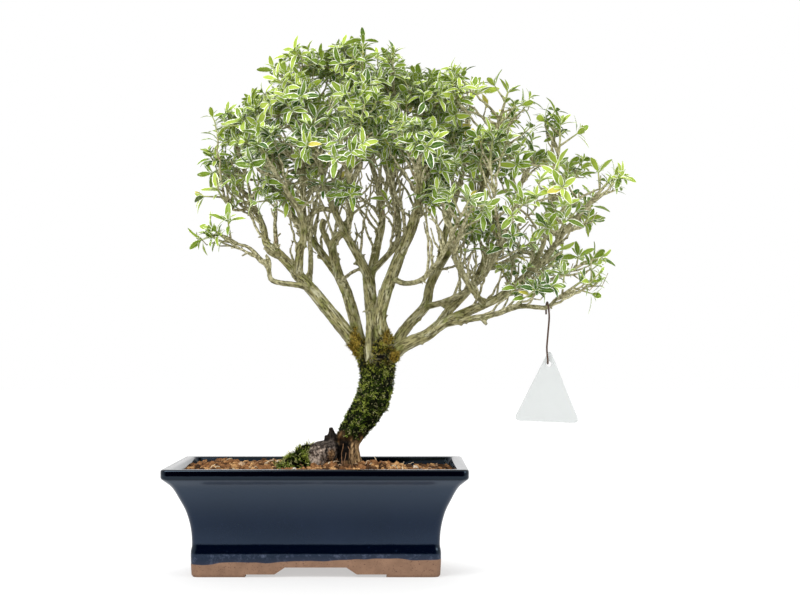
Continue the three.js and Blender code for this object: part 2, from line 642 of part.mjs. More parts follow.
// Settle the centre lines of a stem and of its two side twigs
function layStem(stem, index, chance) {
  const spin = chance() * 2 * Math.PI;
  const turns = SIDE_TWIGS.map(() => chance() - 0.5);
  const own = { stem: index };
  for (let attempt = 0; attempt < STEM.tries; attempt += 1) {
    const line = stemLine(stem, attempt);
    const boxes = segmentsOf(line, stem.radius, { ...own, twig: 0 });
    if (!boxes.every((box) => isFree(box))) continue;
    const heading = between(line.at(-2), line.at(-1));
    const start = turned(squareTo(heading), heading, spin);
    const twigs = SIDE_TWIGS.map(({ back, length }, n) => {
      const root = step(line.at(-1), heading, -back);
      const radius = stem.radius * STEM.sideScale;
      for (let turn = 0; turn < TWIG.tries; turn += 1) {
        const angle = (n + TWIG.firstTurn) * Math.PI + turns[n] + turn * GOLDEN_ANGLE;
        const out = turned(start, heading, angle);
        const along = blend(heading, TWIG.onward, out, TWIG.outward);
        const tip = step(root, along, length);
        const foot = step(root, along, STEM.radius + TWIG.clearOf);
        const box = stemBox(foot, tip, radius, { ...own, twig: n + 1 });
        if (isFree(box)) return { root, tip, out, along, radius, box };
      }
      return null;
    }).filter(Boolean);
    taken.push(...boxes, ...twigs.map(({ box }) => box));
    return { ...stem, index, line, heading, start, twigs };
  }
  return null;
}

// Find room for one of the leaves round a tip
function placeLeaf(twig, sideIndex, chance, tag) {
  const { pitch, size } = LEAF_PAIRS[sideIndex % 2];
  const wander = (chance() - 0.5) * LEAF.wander;
  const grown = LEAF.smallest + LEAF.spread * chance();
  const out = turned(twig.side, twig.along, (sideIndex * Math.PI) / 2);
  for (const [tilt, scale] of LEAF_TRIES) {
    const angle = THREE.MathUtils.degToRad(pitch + wander + tilt);
    const along = twig.along.clone().multiplyScalar(Math.cos(angle)).addScaledVector(out, Math.sin(angle));
    const across = cross(twig.along, out);
    const leaf = {
      root: step(step(twig.tip, twig.along, -STEM.whorl / 2), out, twig.radius * LEAF.rootOut),
      along, across, face: cross(along, across), length: LEAF.length * size * scale * grown,
    };
    const box = leafBox(leaf, tag);
    const ownTwig = (other) => other.stem === tag.stem && other.twig === tag.twig;
    if (isFree(box, ownTwig)) {
      taken.push(box);
      return leaf;
    }
  }
  return null;
}

// Mesh of one leafy stem, a single closed skin: square twigs whose side faces open out into leaves
class Skin {
  points = [];
  triangles = [];

  add(...points) {
    this.points.push(...points);
    return points.map((_, i) => this.points.length - points.length + i);
  }

  quad([a, b, c, d]) {
    this.triangles.push([a, b, c], [a, c, d]);
  }

  ring(centre, side, other, radius) {
    return this.add(...[[1, -1], [1, 1], [-1, 1], [-1, -1]].map(([p, q]) => (
      step(step(centre, side, p * radius * Math.SQRT1_2), other, q * radius * Math.SQRT1_2))));
  }

  // The four side faces between two rings, lower edge first
  faces(low, high) {
    return low.map((_, n) => [low[n], low[(n + 1) % 4], high[(n + 1) % 4], high[n]]);
  }

  // A leaf in place of one side face
  leaf([lowLeft, lowRight, highRight, highLeft], { root, along, across, face, length }) {
    const width = length * LEAF.width;
    const spot = (t, s) => step(step(step(root, along, length * t), across, s * width), face,
      length * (LEAF.rise * t + LEAF.arch * t * t) + Math.abs(s) * LEAF.fold);
    const middle = spot(0.5, 0);
    const [[t1, s1], [t2, s2]] = LEAF_SECTIONS;
    const [right1, right2, tip, left2, left1, upper, under] = this.add(
      spot(t1, -s1), spot(t2, -s2), spot(1, 0), spot(t2, s2), spot(t1, s1),
      middle, step(middle, face, -LEAF.thick));
    const above = [highRight, highLeft, right1, right2, tip, left2, left1];
    const below = [lowLeft, lowRight, left1, left2, tip, right2, right1];
    above.forEach((point, n) => this.triangles.push([point, above[(n + 1) % 7], upper]));
    below.forEach((point, n) => this.triangles.push([point, below[(n + 1) % 7], under]));
    this.triangles.push([right1, highLeft, lowLeft], [left1, lowRight, highRight]);
  }

  // The last of a twig: its leaves, then a pointed bud
  tipWhorl(ring, twig, leaves) {
    const end = this.ring(twig.tip, twig.side, cross(twig.along, twig.side), twig.radius * STEM.budScale);
    this.faces(ring, end).forEach((face, n) => (leaves[n] ? this.leaf(face, leaves[n]) : this.quad(face)));
    const [bud] = this.add(step(twig.tip, twig.along, STEM.bud));
    end.forEach((point, n) => this.triangles.push([point, end[(n + 1) % 4], bud]));
  }
}

// Face of the main stem, 0 to 3, that looks most nearly in a direction
function nearestFace(side, other, out) {
  return Math.round((Math.atan2(out.dot(other), out.dot(side)) / (Math.PI / 2)) + 4) % 4;
}

function makeLeafyStem(stem, chance) {
  const { line, heading, radius, index } = stem;
  const skin = new Skin();
  const tip = line.at(-1);
  const forks = stem.twigs.map((twig, n) => ({ ...twig, n, back: twig.root.distanceTo(tip) }));

  let side = stem.start.clone();
  const directions = [stem.normal, ...directionsAlong(line).slice(1, -1), heading];
  const frames = directions.reverse().map((direction) => {
    side = side.addScaledVector(direction, -side.dot(direction)).normalize();
    return [side.clone(), cross(direction, side)];
  }).reverse();
  const straight = frames.at(-1);
  let ring = skin.ring(line[0], ...frames[0], radius);
  skin.quad([...ring].reverse());
  const walk = (centre, frame, size) => {
    const next = skin.ring(centre, ...frame, size);
    skin.faces(ring, next).forEach((face) => skin.quad(face));
    ring = next;
  };
  line.slice(1, -1).forEach((p, i) => walk(p, frames[i + 1], radius));

  const [mainSide, mainOther] = straight;
  const sideTwigs = [];
  for (const fork of forks) {
    const spot = step(tip, heading, -fork.back);
    walk(step(spot, heading, -STEM.fork / 2), straight, radius);
    const next = skin.ring(step(spot, heading, STEM.fork / 2), mainSide, mainOther, radius);
    const chosen = nearestFace(mainSide, mainOther, fork.out);
    skin.faces(ring, next).forEach((face, n) => {
      if (n === chosen) sideTwigs.push({ ...fork, face });
      else skin.quad(face);
    });
    ring = next;
  }
  const main = { tip, along: heading, side: mainSide, radius };
  walk(step(tip, heading, -STEM.whorl), straight, radius);
  const leavesOf = (twig, number) => (
    [0, 1, 2, 3].map((n) => placeLeaf(twig, n, chance, { stem: index, twig: number })));
  skin.tipWhorl(ring, main, leavesOf(main, 0));

  for (const { face, tip: end, along, radius: size, n } of sideTwigs) {
    const lift = heading.clone().addScaledVector(along, -heading.dot(along)).normalize().negate();
    const twig = { tip: end, along, side: lift, radius: size };
    const low = skin.ring(step(end, along, -STEM.whorl), lift, cross(along, lift), size);
    skin.faces(face, low).forEach((quad) => skin.quad(quad));
    skin.tipWhorl(low, twig, leavesOf(twig, n + 1));
  }
  return bodyFrom(skin.points, skin.triangles);
}

// Put it together
function paint(color, roughness, metalness = 0) {
  return new THREE.MeshStandardMaterial({ color, roughness, metalness });
}

const PAINT = {
  glaze: paint(0x101a33, 0.12),
  soil: paint(0x8a5a33, 0.95),
  bark: paint(0x93885f, 0.9),
  moss: paint(0x45560f, 1),
  leaf: paint(0x86a35a, 0.5),
  plastic: paint(0x2b2b2b, 0.6),
  wire: paint(0x4a3527, 0.45, 0.6),
  tag: paint(0xeef0ee, 0.4),
};

function named(name, shape, material) {
  const geometry = shape.isBufferGeometry ? shape : geometryOf(shape);
  const mesh = new THREE.Mesh(geometry, material);
  mesh.name = name;
  return mesh;
}

const tagWireLine = TAG_WIRE_POINTS.map(at);
const tagWireRadii = tagWireLine.map(() => TAG_WIRE.radius);
for (const { name, line, radii } of SKELETON) {
  line.slice(1).forEach((p, i) => {
    taken.push(stemBox(line[i], p, Math.max(radii[i], radii[i + 1]), { stem: -1, branch: name }));
  });
}
tagWireLine.slice(1).forEach((p, i) => {
  taken.push(stemBox(tagWireLine[i], p, TAG_WIRE.radius, { stem: -2 }));
});
taken.push({
  centre: vec(TAG.x, TAG.y, TAG.top - TAG.height / 2),
  axes: [vec(1, 0, 0), vec(0, 1, 0), UP],
  half: [TAG.width / 2 + TAG.clearOf, TAG.clearOf, TAG.height / 2 + TAG.clearOf],
  stem: -2,
});

const chance = mulberry(CROWN_SEED);
const laid = planStems().map((stem, index) => layStem(stem, index, chance)).filter(Boolean);
const leafyStems = laid.map((stem, n) => (
  named(`leafy_stem_${String(n + 1).padStart(2, "0")}`, makeLeafyStem(stem, chance), PAINT.leaf)));
const grownWood = woodGrownBy(GAP);

const plant = new THREE.Group();
plant.add(
  named("tree_wood", makeWood(), PAINT.bark),
  ...leafyStems,
  named("moss_mound", makeMoss(grownWood), PAINT.moss),
  named("tag", makeTag(), PAINT.tag),
  named("tag_wire", tube(tagWireLine, tagWireRadii, TAG_WIRE.sides), PAINT.wire),
);
const vessel = new THREE.Group();
vessel.add(
  named("pot", makePot(), PAINT.glaze),
  named("drain_mesh_left", makeDrainMesh(-DRAIN.x), PAINT.plastic),
  named("drain_mesh_right", makeDrainMesh(DRAIN.x), PAINT.plastic),
  named("anchor_wire", anchorTube(ANCHOR.radius), PAINT.wire),
  named("soil", makeSoil(grownWood), PAINT.soil),
);

// The origin lies on the floor under the middle of the whole part
const group = new THREE.Group();
group.add(vessel, plant);
const reach = new THREE.Box3().setFromObject(group);
const middle = reach.getCenter(vec(0, 0, 0));
group.position.set(-middle.x, -middle.y, -reach.min.z);
group.updateMatrixWorld(true);

export default group;
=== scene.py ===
# Looks of the serissa bonsai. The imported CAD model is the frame, and finer pieces stand for its nodes.
# Lengths are millimetres, measured from the floor under the middle of the pot, as in the CAD source.
# The skeleton and the rule that lays the leafy stems repeat the CAD source, so that each finer spray
# lies where its node is. Pairs such as pitch=(38, 80) are the ends of a range.
import json
import math
from collections import namedtuple
from types import SimpleNamespace as Sizes

import bmesh
import bpy
import numpy as np
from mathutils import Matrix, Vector, bvhtree, noise

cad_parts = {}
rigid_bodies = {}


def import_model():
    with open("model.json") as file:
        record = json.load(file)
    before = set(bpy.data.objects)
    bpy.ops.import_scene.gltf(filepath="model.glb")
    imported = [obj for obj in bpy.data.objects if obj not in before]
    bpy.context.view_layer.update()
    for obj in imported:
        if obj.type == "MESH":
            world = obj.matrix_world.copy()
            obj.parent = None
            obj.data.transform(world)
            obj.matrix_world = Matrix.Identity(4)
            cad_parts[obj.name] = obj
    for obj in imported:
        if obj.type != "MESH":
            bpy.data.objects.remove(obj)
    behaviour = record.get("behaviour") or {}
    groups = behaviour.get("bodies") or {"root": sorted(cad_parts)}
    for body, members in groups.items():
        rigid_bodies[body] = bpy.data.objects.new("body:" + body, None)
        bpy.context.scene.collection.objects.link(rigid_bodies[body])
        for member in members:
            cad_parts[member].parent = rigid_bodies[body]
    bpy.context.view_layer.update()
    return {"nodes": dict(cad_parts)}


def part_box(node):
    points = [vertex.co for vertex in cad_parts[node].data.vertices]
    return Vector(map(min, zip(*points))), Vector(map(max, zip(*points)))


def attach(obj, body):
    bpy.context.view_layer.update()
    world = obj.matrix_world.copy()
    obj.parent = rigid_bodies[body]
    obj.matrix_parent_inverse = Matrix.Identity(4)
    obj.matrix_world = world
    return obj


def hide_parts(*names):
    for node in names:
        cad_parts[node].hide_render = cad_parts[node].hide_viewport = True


for left_over in list(bpy.data.objects):
    bpy.data.objects.remove(left_over)
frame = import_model()

Zone = namedtuple("Zone", "centre radius twigs leafy", defaults=(0, 0))
Opening = namedtuple("Opening", "x z reach_x reach_z")
MM = 0.001
GAP = 0.3
UP = np.array([0.0, 0.0, 1.0])
GOLDEN_ANGLE = math.pi * (3 - math.sqrt(5))

# Pot, as in the CAD source: each ring is its height, then how far it lies inside the rim's edge
POT = Sizes(half_x=131.5, half_y=95, corner=6, floor=17, underside=8.5, foot_width=12, crease=40)
POT_SIDE = [
    (0, 25.2), (1.6, 24), (20, 23.2), (28, 24.2), (42, 23.2), (56, 19.8), (67, 14.8), (78, 8.8), (85, 1.4),
]
POT_LIP = [(86, 0.4), (87.2, 0), (92.4, 0), (93.5, 0.4), (94, 1.2), (94, 8.2), (93.6, 9.4), (92.5, 10.2)]
POT_INSIDE = [(87, 12), (78, 16.5), (67, 22.5), (56, 27.5), (43, 31), (17, 32)]
CORNER_STEPS = 8
RING_SPACING = 2.2
FOOT_STEP = 2.5
FRONT_NOTCH = Sizes(flat=61, step=35.5, gap=26.5)
SIDE_NOTCH = Sizes(flat=41, step=24, gap=17)
DRAIN = Sizes(x=45, radius=11, sides=40)
WIRE_HOLE = Sizes(y=24, radius=2.2, sides=20)
ANCHOR = Sizes(radius=1, spacing=1.5, sides=12)
ANCHOR_HALF = [(WIRE_HOLE.y, 52), (WIRE_HOLE.y, POT.underside), (21, 4.4), (10, 3.6)]
# Netting over the drain holes: the bars' middles lie at one level one way, and higher the other way
MESH_TILE = Sizes(half=17, holes=9, bar=1.1, sides=8, level=0.504, next_level=0.192)

# Leaves and stems, as in the CAD source
LEAF = Sizes(length=17, width=0.42, arch=-0.26, rise=0.1, fold=1.2, wander=14, smallest=0.88, spread=0.24,
             root_out=0.7, box_half=1.9, box_sag=0.05)
LEAF_WIDEST = 0.46
LEAF_PAIRS = [(68, 1), (42, 0.88)]
LEAF_TRIES = [(0, 1), (14, 0.94), (-16, 0.94), (0, 0.78), (24, 0.72), (-26, 0.72)]
STEM = Sizes(count=45, radius=1.5, side_scale=0.85, seat=0.35, whorl=2.3, straight=23, knee=6.5, clear_of=5,
             bend=0.12, upright=0.5, shortest=10, swing=1.5, tries=26)
TIP_STEM = Sizes(length=27, onward=0.75, outward=0.5, upright=0.35)
SEAT = Sizes(away=1.9, along=0.5, rise=0.4, crowd_reach=12, crowd=70, onward=0.7, outward=0.8)
SIDE_TWIGS = [(20, 20), (9, 18)]
TWIG = Sizes(onward=0.62, outward=0.8, first_turn=0.25, tries=6, clear_of=1)
DOMES = [
    Sizes(centre=(23, 0, 341), radius=(137, 112, 140), lowest=-0.3, places=120, start=0),
    Sizes(centre=(165, 0, 330), radius=(101, 90, 113), lowest=-0.74, places=90, start=1.1),
]
DOME_TUCK = 0.84
DOME_OVERLAP = 0.9
UNDERSIDE = Sizes(x=30, height=382, fall=0.0034)
CROWN_CENTRE = (60, 0, 293)
CROWN_SEED = 11

# Tag and its wire, as in the CAD source, but the tag a little larger all round, as the photo shows it
TAG = Sizes(x=203.6, y=-50, top=197, width=58.5, height=64, rounding=6.4, thick=0.8, hole=2.2,
            hole_drop=13.5, turn=-2.5, clear_of=3, edge=0.12, corner_steps=10, hole_sides=32, crease=50)
TAG_WIRE = Sizes(radius=0.8, spacing=1, sides=14)
TAG_WIRE_POINTS = [
    (201, -45.6, 227), (201, -45.8, 232), (201.2, -47, 236.2), (201.6, -50, 237.6), (202, -53.4, 235.6),
    (203, -54.2, 225), (202, -53.6, 211), (201, -53.2, 198), (201.6, -52.6, 189), (202, -51.6, 185),
    (202, -50, 183.9), (202, -48.2, 184.8), (202, -47.4, 189), (202.4, -47.2, 193),
]

# The tree's skeleton, as in the CAD source: radii from root to tip, and the points of each centre line
WOOD = {
    "trunk": ((13, 11.8, 10.5, 10.8, 11.4, 12.7, 13.8, 14.8, 14, 16.7, 17, 11), (
        (26, 0, 69), (25, 0, 94), (25, 0, 106), (26, 0, 115), (31, 1, 124), (37, 2, 133), (44, 2, 143),
        (49, 1, 153), (52, 0, 169), (52, 0, 184), (51, 0, 194), (51, 0, 202))),
    "root_right": ((5, 5, 5.2, 6), ((30.5, -2, 117), (31.2, -4, 104), (34, -7, 92), (36, -10, 75))),
    "root_front": ((6, 6, 8), ((28, -5, 111), (25, -15, 97), (20, -25, 81))),
    "root_back": ((6, 6, 8), ((29, 5, 111), (31, 16, 97), (35, 27, 81))),
    "stump": ((7, 9.5, 10, 8), ((22, 0, 106), (9, -2, 105), (-1, -2, 102), (-9, -2, 84))),
    "snag_tall": ((4.4, 3.3, 2.1), ((14.5, -3, 107), (12, -3, 118), (10.2, -3, 126))),
    "snag_short": ((3, 1.2), ((8, -4, 105), (6.3, -4, 119.5))),
    "A": ((7, 5), (
        (47, -2, 185), (35, -6, 198), (22, -10, 215), (8, -14, 232), (-5, -17, 248), (-21, -20, 265))),
    "A1": ((3, 1.6), (
        (-6, -17, 249), (-16, -25, 253), (-40, -35, 257), (-44, -38, 268), (-59, -40, 285),
        (-70, -43, 289))),
    "A2": ((4.6, 2), (
        (-19, -20, 264), (-37, -10, 283), (-48, 0, 292), (-52, 10, 308), (-63, 22, 330), (-77, 32, 347))),
    "A3": ((4.2, 2), (
        (-18, -20, 263), (-16, -34, 282), (-12, -45, 297), (-15, -58, 316), (-26, -72, 334),
        (-34, -84, 348))),
    "A4": ((2.8, 1.7), ((-9, -17, 252), (-8, 0, 275), (-11, 22, 299), (-22, 48, 330), (-38, 68, 363))),
    "B": ((6, 4.8), ((47, 4, 185), (36, 8, 205), (31, 12, 225), (24, 16, 248), (17, 18, 263))),
    "B1": ((4, 2), (
        (18, 18, 261), (4, 26, 280), (-11, 36, 300), (-30, 48, 324), (-51, 58, 354), (-62, 62, 381))),
    "B2": ((4.5, 2.2), (
        (18, 18, 260), (12, 6, 283), (13, -4, 293), (25, -20, 306), (30, -42, 323), (29, -66, 341),
        (26, -84, 354))),
    "B3": ((3, 2.7), ((12, 8, 285), (7, 4, 294), (2, 2, 307), (4, 2, 314))),
    "B4": ((3, 1.8), (
        (-10, 36, 298), (-16, 30, 321), (-16, 22, 349), (-18, 14, 382), (-24, 8, 412), (-28, 5, 425))),
    "C": ((7, 5.5), ((53, 0, 185), (50, 2, 205), (48, 4, 225), (46, 6, 243), (44, 8, 263))),
    "C1": ((4.6, 2), (
        (45, 8, 259), (37, 0, 277), (30, -10, 289), (22, -24, 303), (14, -38, 321), (6, -56, 344),
        (2, -70, 365))),
    "C2": ((4.6, 2), (
        (45, 8, 259), (49, 20, 278), (52, 32, 293), (56, 46, 316), (52, 64, 348), (44, 80, 377),
        (36, 90, 399))),
    "C3": ((3, 1.8), (
        (47, 10, 266), (62, 2, 282), (70, -4, 292), (71, -10, 317), (62, -12, 353), (49, -10, 389),
        (38, -8, 419), (33, -8, 434))),
    "D": ((7, 5), (
        (58, -2, 185), (55, -4, 205), (54, -6, 225), (59, -9, 245), (67, -12, 266), (74, -16, 285))),
    "D1": ((4.6, 2), ((74, -16, 283), (82, -32, 304), (88, -52, 324), (90, -72, 344), (88, -88, 360))),
    "D2": ((4, 2), (
        (74, -16, 283), (84, -2, 304), (91, 14, 330), (95, 30, 365), (95, 38, 401), (91, 42, 423))),
    "D3": ((2.8, 1.7), (
        (66, -11, 260), (77, -24, 255), (92, -40, 258), (106, -58, 273), (116, -76, 291), (122, -90, 305))),
    "E": ((5.4, 4), (
        (62, 0, 186), (71, 4, 205), (81, 8, 219), (96, 14, 236), (100, 18, 254), (109, 22, 273))),
    "E1": ((3.6, 2), (
        (108, 22, 271), (112, 34, 291), (118, 50, 317), (129, 66, 351), (135, 76, 383), (138, 81, 419))),
    "E2": ((3.6, 2), (
        (109, 22, 272), (124, 14, 296), (140, 4, 324), (152, -6, 356), (159, -10, 384), (162, -12, 402))),
    "E3": ((3.2, 1.8), (
        (96, 14, 235), (109, 2, 238), (126, -14, 245), (144, -30, 258), (158, -48, 280), (166, -64, 302))),
    "F": ((6.4, 5), ((58, -2, 183), (73, -6, 197), (85, -10, 204), (97, -12, 209), (109, -14, 219))),
    "F1": ((4.4, 2), (
        (106, -14, 216), (116, -6, 230), (134, 10, 249), (150, 28, 270), (166, 46, 298), (179, 60, 328),
        (188, 68, 355))),
    "F2": ((4.8, 2), (
        (106, -14, 216), (120, -18, 224), (147, -24, 236), (163, -26, 244), (185, -28, 262), (202, -30, 278),
        (220, -32, 302), (245, -35, 331))),
    "F3": ((3, 2), ((149, -24, 235), (138, -36, 247), (126, -50, 265), (120, -62, 279), (126, -78, 301))),
    "F4": ((3.4, 1.8), (
        (109, -14, 218), (128, -26, 222), (146, -38, 225), (159, -44, 228), (178, -48, 234), (201, -50, 233),
        (209, -50, 240))),
    "F5": ((2.8, 1.6), ((162, -26, 244), (182, -12, 249), (207, 4, 258), (227, 12, 267))),
    "F6": ((2.8, 1.6), ((185, -28, 262), (199, -14, 285), (208, 0, 313), (214, 10, 339))),
    "F7": ((2.6, 1.6), ((150, 28, 270), (170, 44, 277), (194, 58, 294), (212, 68, 312))),
}
ROOTS = ("root_right", "root_front", "root_back")
FOOT = ("trunk", *ROOTS, "stump", "snag_tall", "snag_short")
BARE = (*FOOT, "A", "B", "B3", "C", "D", "E", "F")
MOSSY = ("trunk", "A", "B", "C", "C_side", "D", "E", "F")
# Short branches, knots and dead ends that only the looks have, grown into the bark
SHORT_WOOD = {
    "B_link": ((1.9, 1.6), ((19, 14, 258), (26, 11, 264), (33, 8, 268), (40, 4, 270))),
    "arch": ((2.6, 2.4), (
        (-13, 24, 304), (-12, 20, 314), (-6, 12, 321), (3, 0, 323), (13, -14, 320), (19, -26, 311))),
    "A_knot": ((2.8, 1.4), (
        (-32, -10, 280), (-38, -9, 286), (-39, -8, 296), (-40, -6, 309), (-39, -6, 320), (-41, -8, 328))),
    "A_stub": ((3.2, 1.8), ((-37, -14, 280), (-44, -18, 283), (-48, -20, 288))),
    "A_stub_low": ((2.4, 1.6), ((-43, -37, 267), (-43, -37, 275), (-46, -38, 280))),
    "A_spur": ((1.5, 0.7), ((-22, -18, 274), (-25, -22, 284), (-23, -23, 291), (-26, -24, 295))),
    "A_spur_fork": ((1.0, 0.6), ((-24, -23, 289), (-21, -25, 294))),
    "B_stub": ((2.0, 1.3), ((-10, -40, 295), (-16, -46, 299), (-18, -48, 301))),
    "C_spur": ((1.5, 0.7), ((31, -8, 288), (34, -9, 297), (39, -10, 303), (43, -12, 309))),
    "C_spur_fork": ((1.1, 0.6), ((34, -9, 296), (32, -10, 303))),
    "D_knot": ((3.6, 2.6), ((141, 17, 257), (148, 9, 273), (151, 2, 288))),
    "D_knot_fork": ((1.9, 1.0), ((151, 2, 286), (158, -5, 297), (167, -12, 307))),
    "D_knot_left": ((1.6, 0.9), ((150, 2, 284), (145, -4, 295), (143, -8, 307))),
    "C_front": ((3.7, 3.1, 2.9, 2.9, 3.2, 3.4), (
        (44.5, -9, 183), (44.2, -14, 193), (44.4, -13, 206), (45, -10, 220), (46, -6, 230), (49, 2, 238))),
    "C_side": ((5.5, 3.5), ((61, -2, 188), (61, -3, 203), (58, -3, 216), (55, -4, 228))),
    "C_sprout": ((1.5, 0.9), ((46, -8, 228), (41, -12, 231), (39, -13, 229))),
    "snag_front": ((2.6, 1.7, 1.3), ((7.5, -6, 104), (6.2, -6, 112), (5.4, -5.5, 119))),
    "E_spur": ((1.6, 0.9), ((109, 19, 269), (120, 9, 271), (130, 0, 275), (137, -6, 283), (144, -10, 293))),
    "F_stub": ((2.4, 1.7), ((144, -37, 225), (149, -42, 218))),
    "F_side": ((2.4, 1.3), (
        (161, -28, 243), (174, -38, 253), (189, -46, 264), (202, -52, 273), (215, -58, 282))),
    "F_rise": ((2.0, 1.1), (
        (176, -26, 253), (187, -12, 260), (194, 0, 270), (193, 8, 285), (191, 14, 298))),
    "F_out": ((1.9, 1.0), ((197, -30, 273), (208, -42, 285), (218, -52, 294), (224, -58, 304))),
}

# What only the looks have. The finer leaf: how far along its length, and how wide there
LEAF_OUTLINE = [
    (0, 0.1), (0.08, 0.16), (0.22, 0.62), (0.4, 0.94), (0.58, 1), (0.78, 0.82), (0.93, 0.45), (1, 0.08),
]
LEAF_ACROSS = (-1, -0.5, 0, 0.5, 1)
PLAIN_ACROSS = (-1, 0, 1)
# Its ripple with the waves of it, and its tint: about one leaf in a hundred is yellowed
LEAF_LOOK = Sizes(ripple=0.35, phase=6, waves=9, twist=2, tint_spread=0.22, greenest=0.98, green_share=0.99)
# The leaves that only the looks have: their length, their width and how far they curl over
FINE_LEAF = Sizes(length=(9.5, 16), width=(0.36, 0.46), arch=(-0.85, -0.25))
# Pairs of leaves down a twig, the young leaves round its tip, and a short side shoot
PAIRS = Sizes(spacing=4.6, uneven=(0.8, 1.25), pitch=(38, 80), twist=0.35, kept=0.86, fade=0.2)
BUD = Sizes(pitch=(12, 40), size=(0.45, 0.8), young=(0.4, 1), back=0.3)
SHOOT = Sizes(radius=0.7, tip=0.45, shortest=8, spread=8, bow=1, twist=0.2, pitch=(-22, 8), back=0.5,
              pairs_from=5, pairs_to=0.8, sides=4)
# A side shoot's heading between its twig's and square to it, and a twig's end between outward and up
FORK = Sizes(onward=0.7, outward=0.75)
RISE = Sizes(outward=0.6, upward=0.7, fork=0.5)
YOUNG_TO_TIP = [0.1, 0.5, 1]
# The finer form of a leafy stem, with the side shoots that a leafy one has
SPRAY = Sizes(seed=1000, spacing=4, kink=0.25, thick=1.05, taper=0.5, sides=7, twig_radii=[1.1, 0.85, 0.6],
              twig_sides=6, young=(0, 0.4), pairs_from=5.5, pairs_to=24, shoots_at=(13, 20), leafy=0.6,
              twist=0.4)
# Fine twigs that fill the crown: how many go to the neighbourhood of each leafy stem's tip, how far that
# reaches, where along a piece of branch a twig can start, and what a crowded or too near start costs
FILL = Sizes(seed=31, per_stem=8, least=0.4, reach=25, flat=0.75, inside=0.88, below=6, edge=0.4,
             starts=(0.2, 0.55, 0.9), crowd_reach=9, crowd=30, shortest=24, too_near=200)
# The form of one: its bend, its thickness, its leafy run, then its side shoots, forks and dead stubs
FINE_TWIG = Sizes(first=0.35, last=0.3, step=5, kink=0.55, radius=1.45, tip=0.55, full_at=60, least=0.4,
                  sides=5, leafy_run=27, leafy_share=0.5, bare_tip=0.12, first_pairs=(0.6, 8),
                  last_pairs=(0, 0.1), shoots=0.3, forks=0.1, stubs=0.35, fork_run=(6, 12),
                  fork_rise=(5, 14), stub_run=(2, 6))
SIDE_RADII = Sizes(root=0.8, fork=0.65, stub=0.5, sides=4)
# Leaves thin out below the crown's top: how leafy a twig is at least, and the heights between which that
# changes. The right shoulder is thinner too, from one place along X to another
LEAFY = Sizes(least=0.3, low=340, high=405, thin_from=95, thin_to=175, thinnest=0.5)
# Zones that more fine twigs end in, how many end in each and how leafy they are. The bare ones are the
# thicket under the leaves
THICKET = [
    Zone((28, 0, 362), (86, 70, 38), 72, 0),
    Zone((172, 0, 292), (70, 56, 34), 24, 0),
    Zone((180, -20, 280), (40, 50, 26), 8, 0.5),
    Zone((104, -50, 338), (14, 30, 16), 14, 0.6),
    Zone((142, -44, 308), (18, 26, 12), 14, 0.8),
    Zone((152, -20, 366), (38, 44, 14), 18, 0.55),
    Zone((190, -52, 252), (22, 22, 5), 5, 0.6),
    Zone((13, -66, 339), (16, 12, 5), 4, 0.6),
    Zone((-37, -60, 336), (10, 14, 14), 7, 0.8),
    Zone((53, -62, 396), (20, 28, 26), 30, 1),
    Zone((-26, -56, 410), (12, 28, 12), 10, 1),
    Zone((126, -10, 430), (20, 40, 16), 16, 1),
    Zone((26, -10, 456), (50, 50, 12), 22, 1),
]
# Sprigs that reach out at the crown's left edge and at its lower right, grown when the rest is in place
EDGES = [
    Zone((-92, 4, 402), (17, 34, 9), 5, 1),
    Zone((-96, 0, 374), (12, 30, 9), 3, 1),
    Zone((166, -48, 288), (18, 24, 12), 5, 0.8),
]
# Openings in the crown, seen from the front: the fine twigs end, and their leaves grow, beside them
OPENINGS = [
    Opening(-44, 448, 20, 14),
    Opening(163, 434, 32, 12),
    Opening(76, 341, 19, 14),
    Opening(-90, 318, 14, 14),
    Opening(224, 374, 11, 17),
    Opening(19, 375, 20, 8),
    Opening(199, 358, 18, 10),
    Opening(243, 287, 12, 10),
    Opening(131, 331, 15, 13),
]
# Each sprig's shade of green, from dark 0 to bright 1, and how much brighter it is painted towards the
# crown's top, as painted light
TINT = Sizes(range=(0.1, 0.75), top=0.3, low=395, high=440)

# The bark's skin, its relief, and the dead spurs and knots on it
BARK = Sizes(seed=7, voxel=1.35, sample=1.6, spacing=3, sides=16, stretch=0.21, lump=1.1, lump_size=11,
             lump_from=3, lump_over=8, least_lump=0.08, reach=8)
FISSURE = Sizes(ridges=0.62, steep=2.4, ridge=0.75, fines=1.7, fine=0.5, depth=0.1, by_radius=0.045,
                deepest=0.75)
STUBS = Sizes(spacing=4, share=0.28, lean=(0.2, 0.8), length=(0.8, 7), least=0.4, thick=(0.9, 1.7),
              of_branch=0.55, bend_at=0.6, kink=0.5, root=1.3, end=0.7, sides=8)
# What grows on the wood lies between heights or within zones. Noise of two sizes, in patches and fine, makes
# its edges ragged: it shifts the heights by so much, and the zones' edges by these shares of their radius
RAGGED = Sizes(patch_size=9, fine_size=4, patch=9, fine=4)
# Moss on the trunk, lower at the right, higher between the limbs, and thinned by the rust-coloured moss that
# grows where the limbs leave the trunk
MOSS = Sizes(bottom=(117, 124), top=(180, 198), lower=4, lower_at=(20, 28), thinned=0.8)
HIGH_MOSS_EDGE = Sizes(patch=0.35, fine=0.25, fade=(0.7, 1.1))
HIGH_MOSS = [
    Zone((40, -6, 190), (8, 30, 20)),
    Zone((57, -6, 192), (12, 30, 19)),
]
RUST_EDGE = Sizes(patch=0.4, fine=0.3, fade=(0.6, 1.05))
RUST = [
    Zone((32, -6, 201), (8, 30, 17)),
    Zone((62, -6, 206), (5, 30, 8)),
    Zone((68, -4, 190), (6, 30, 6)),
]
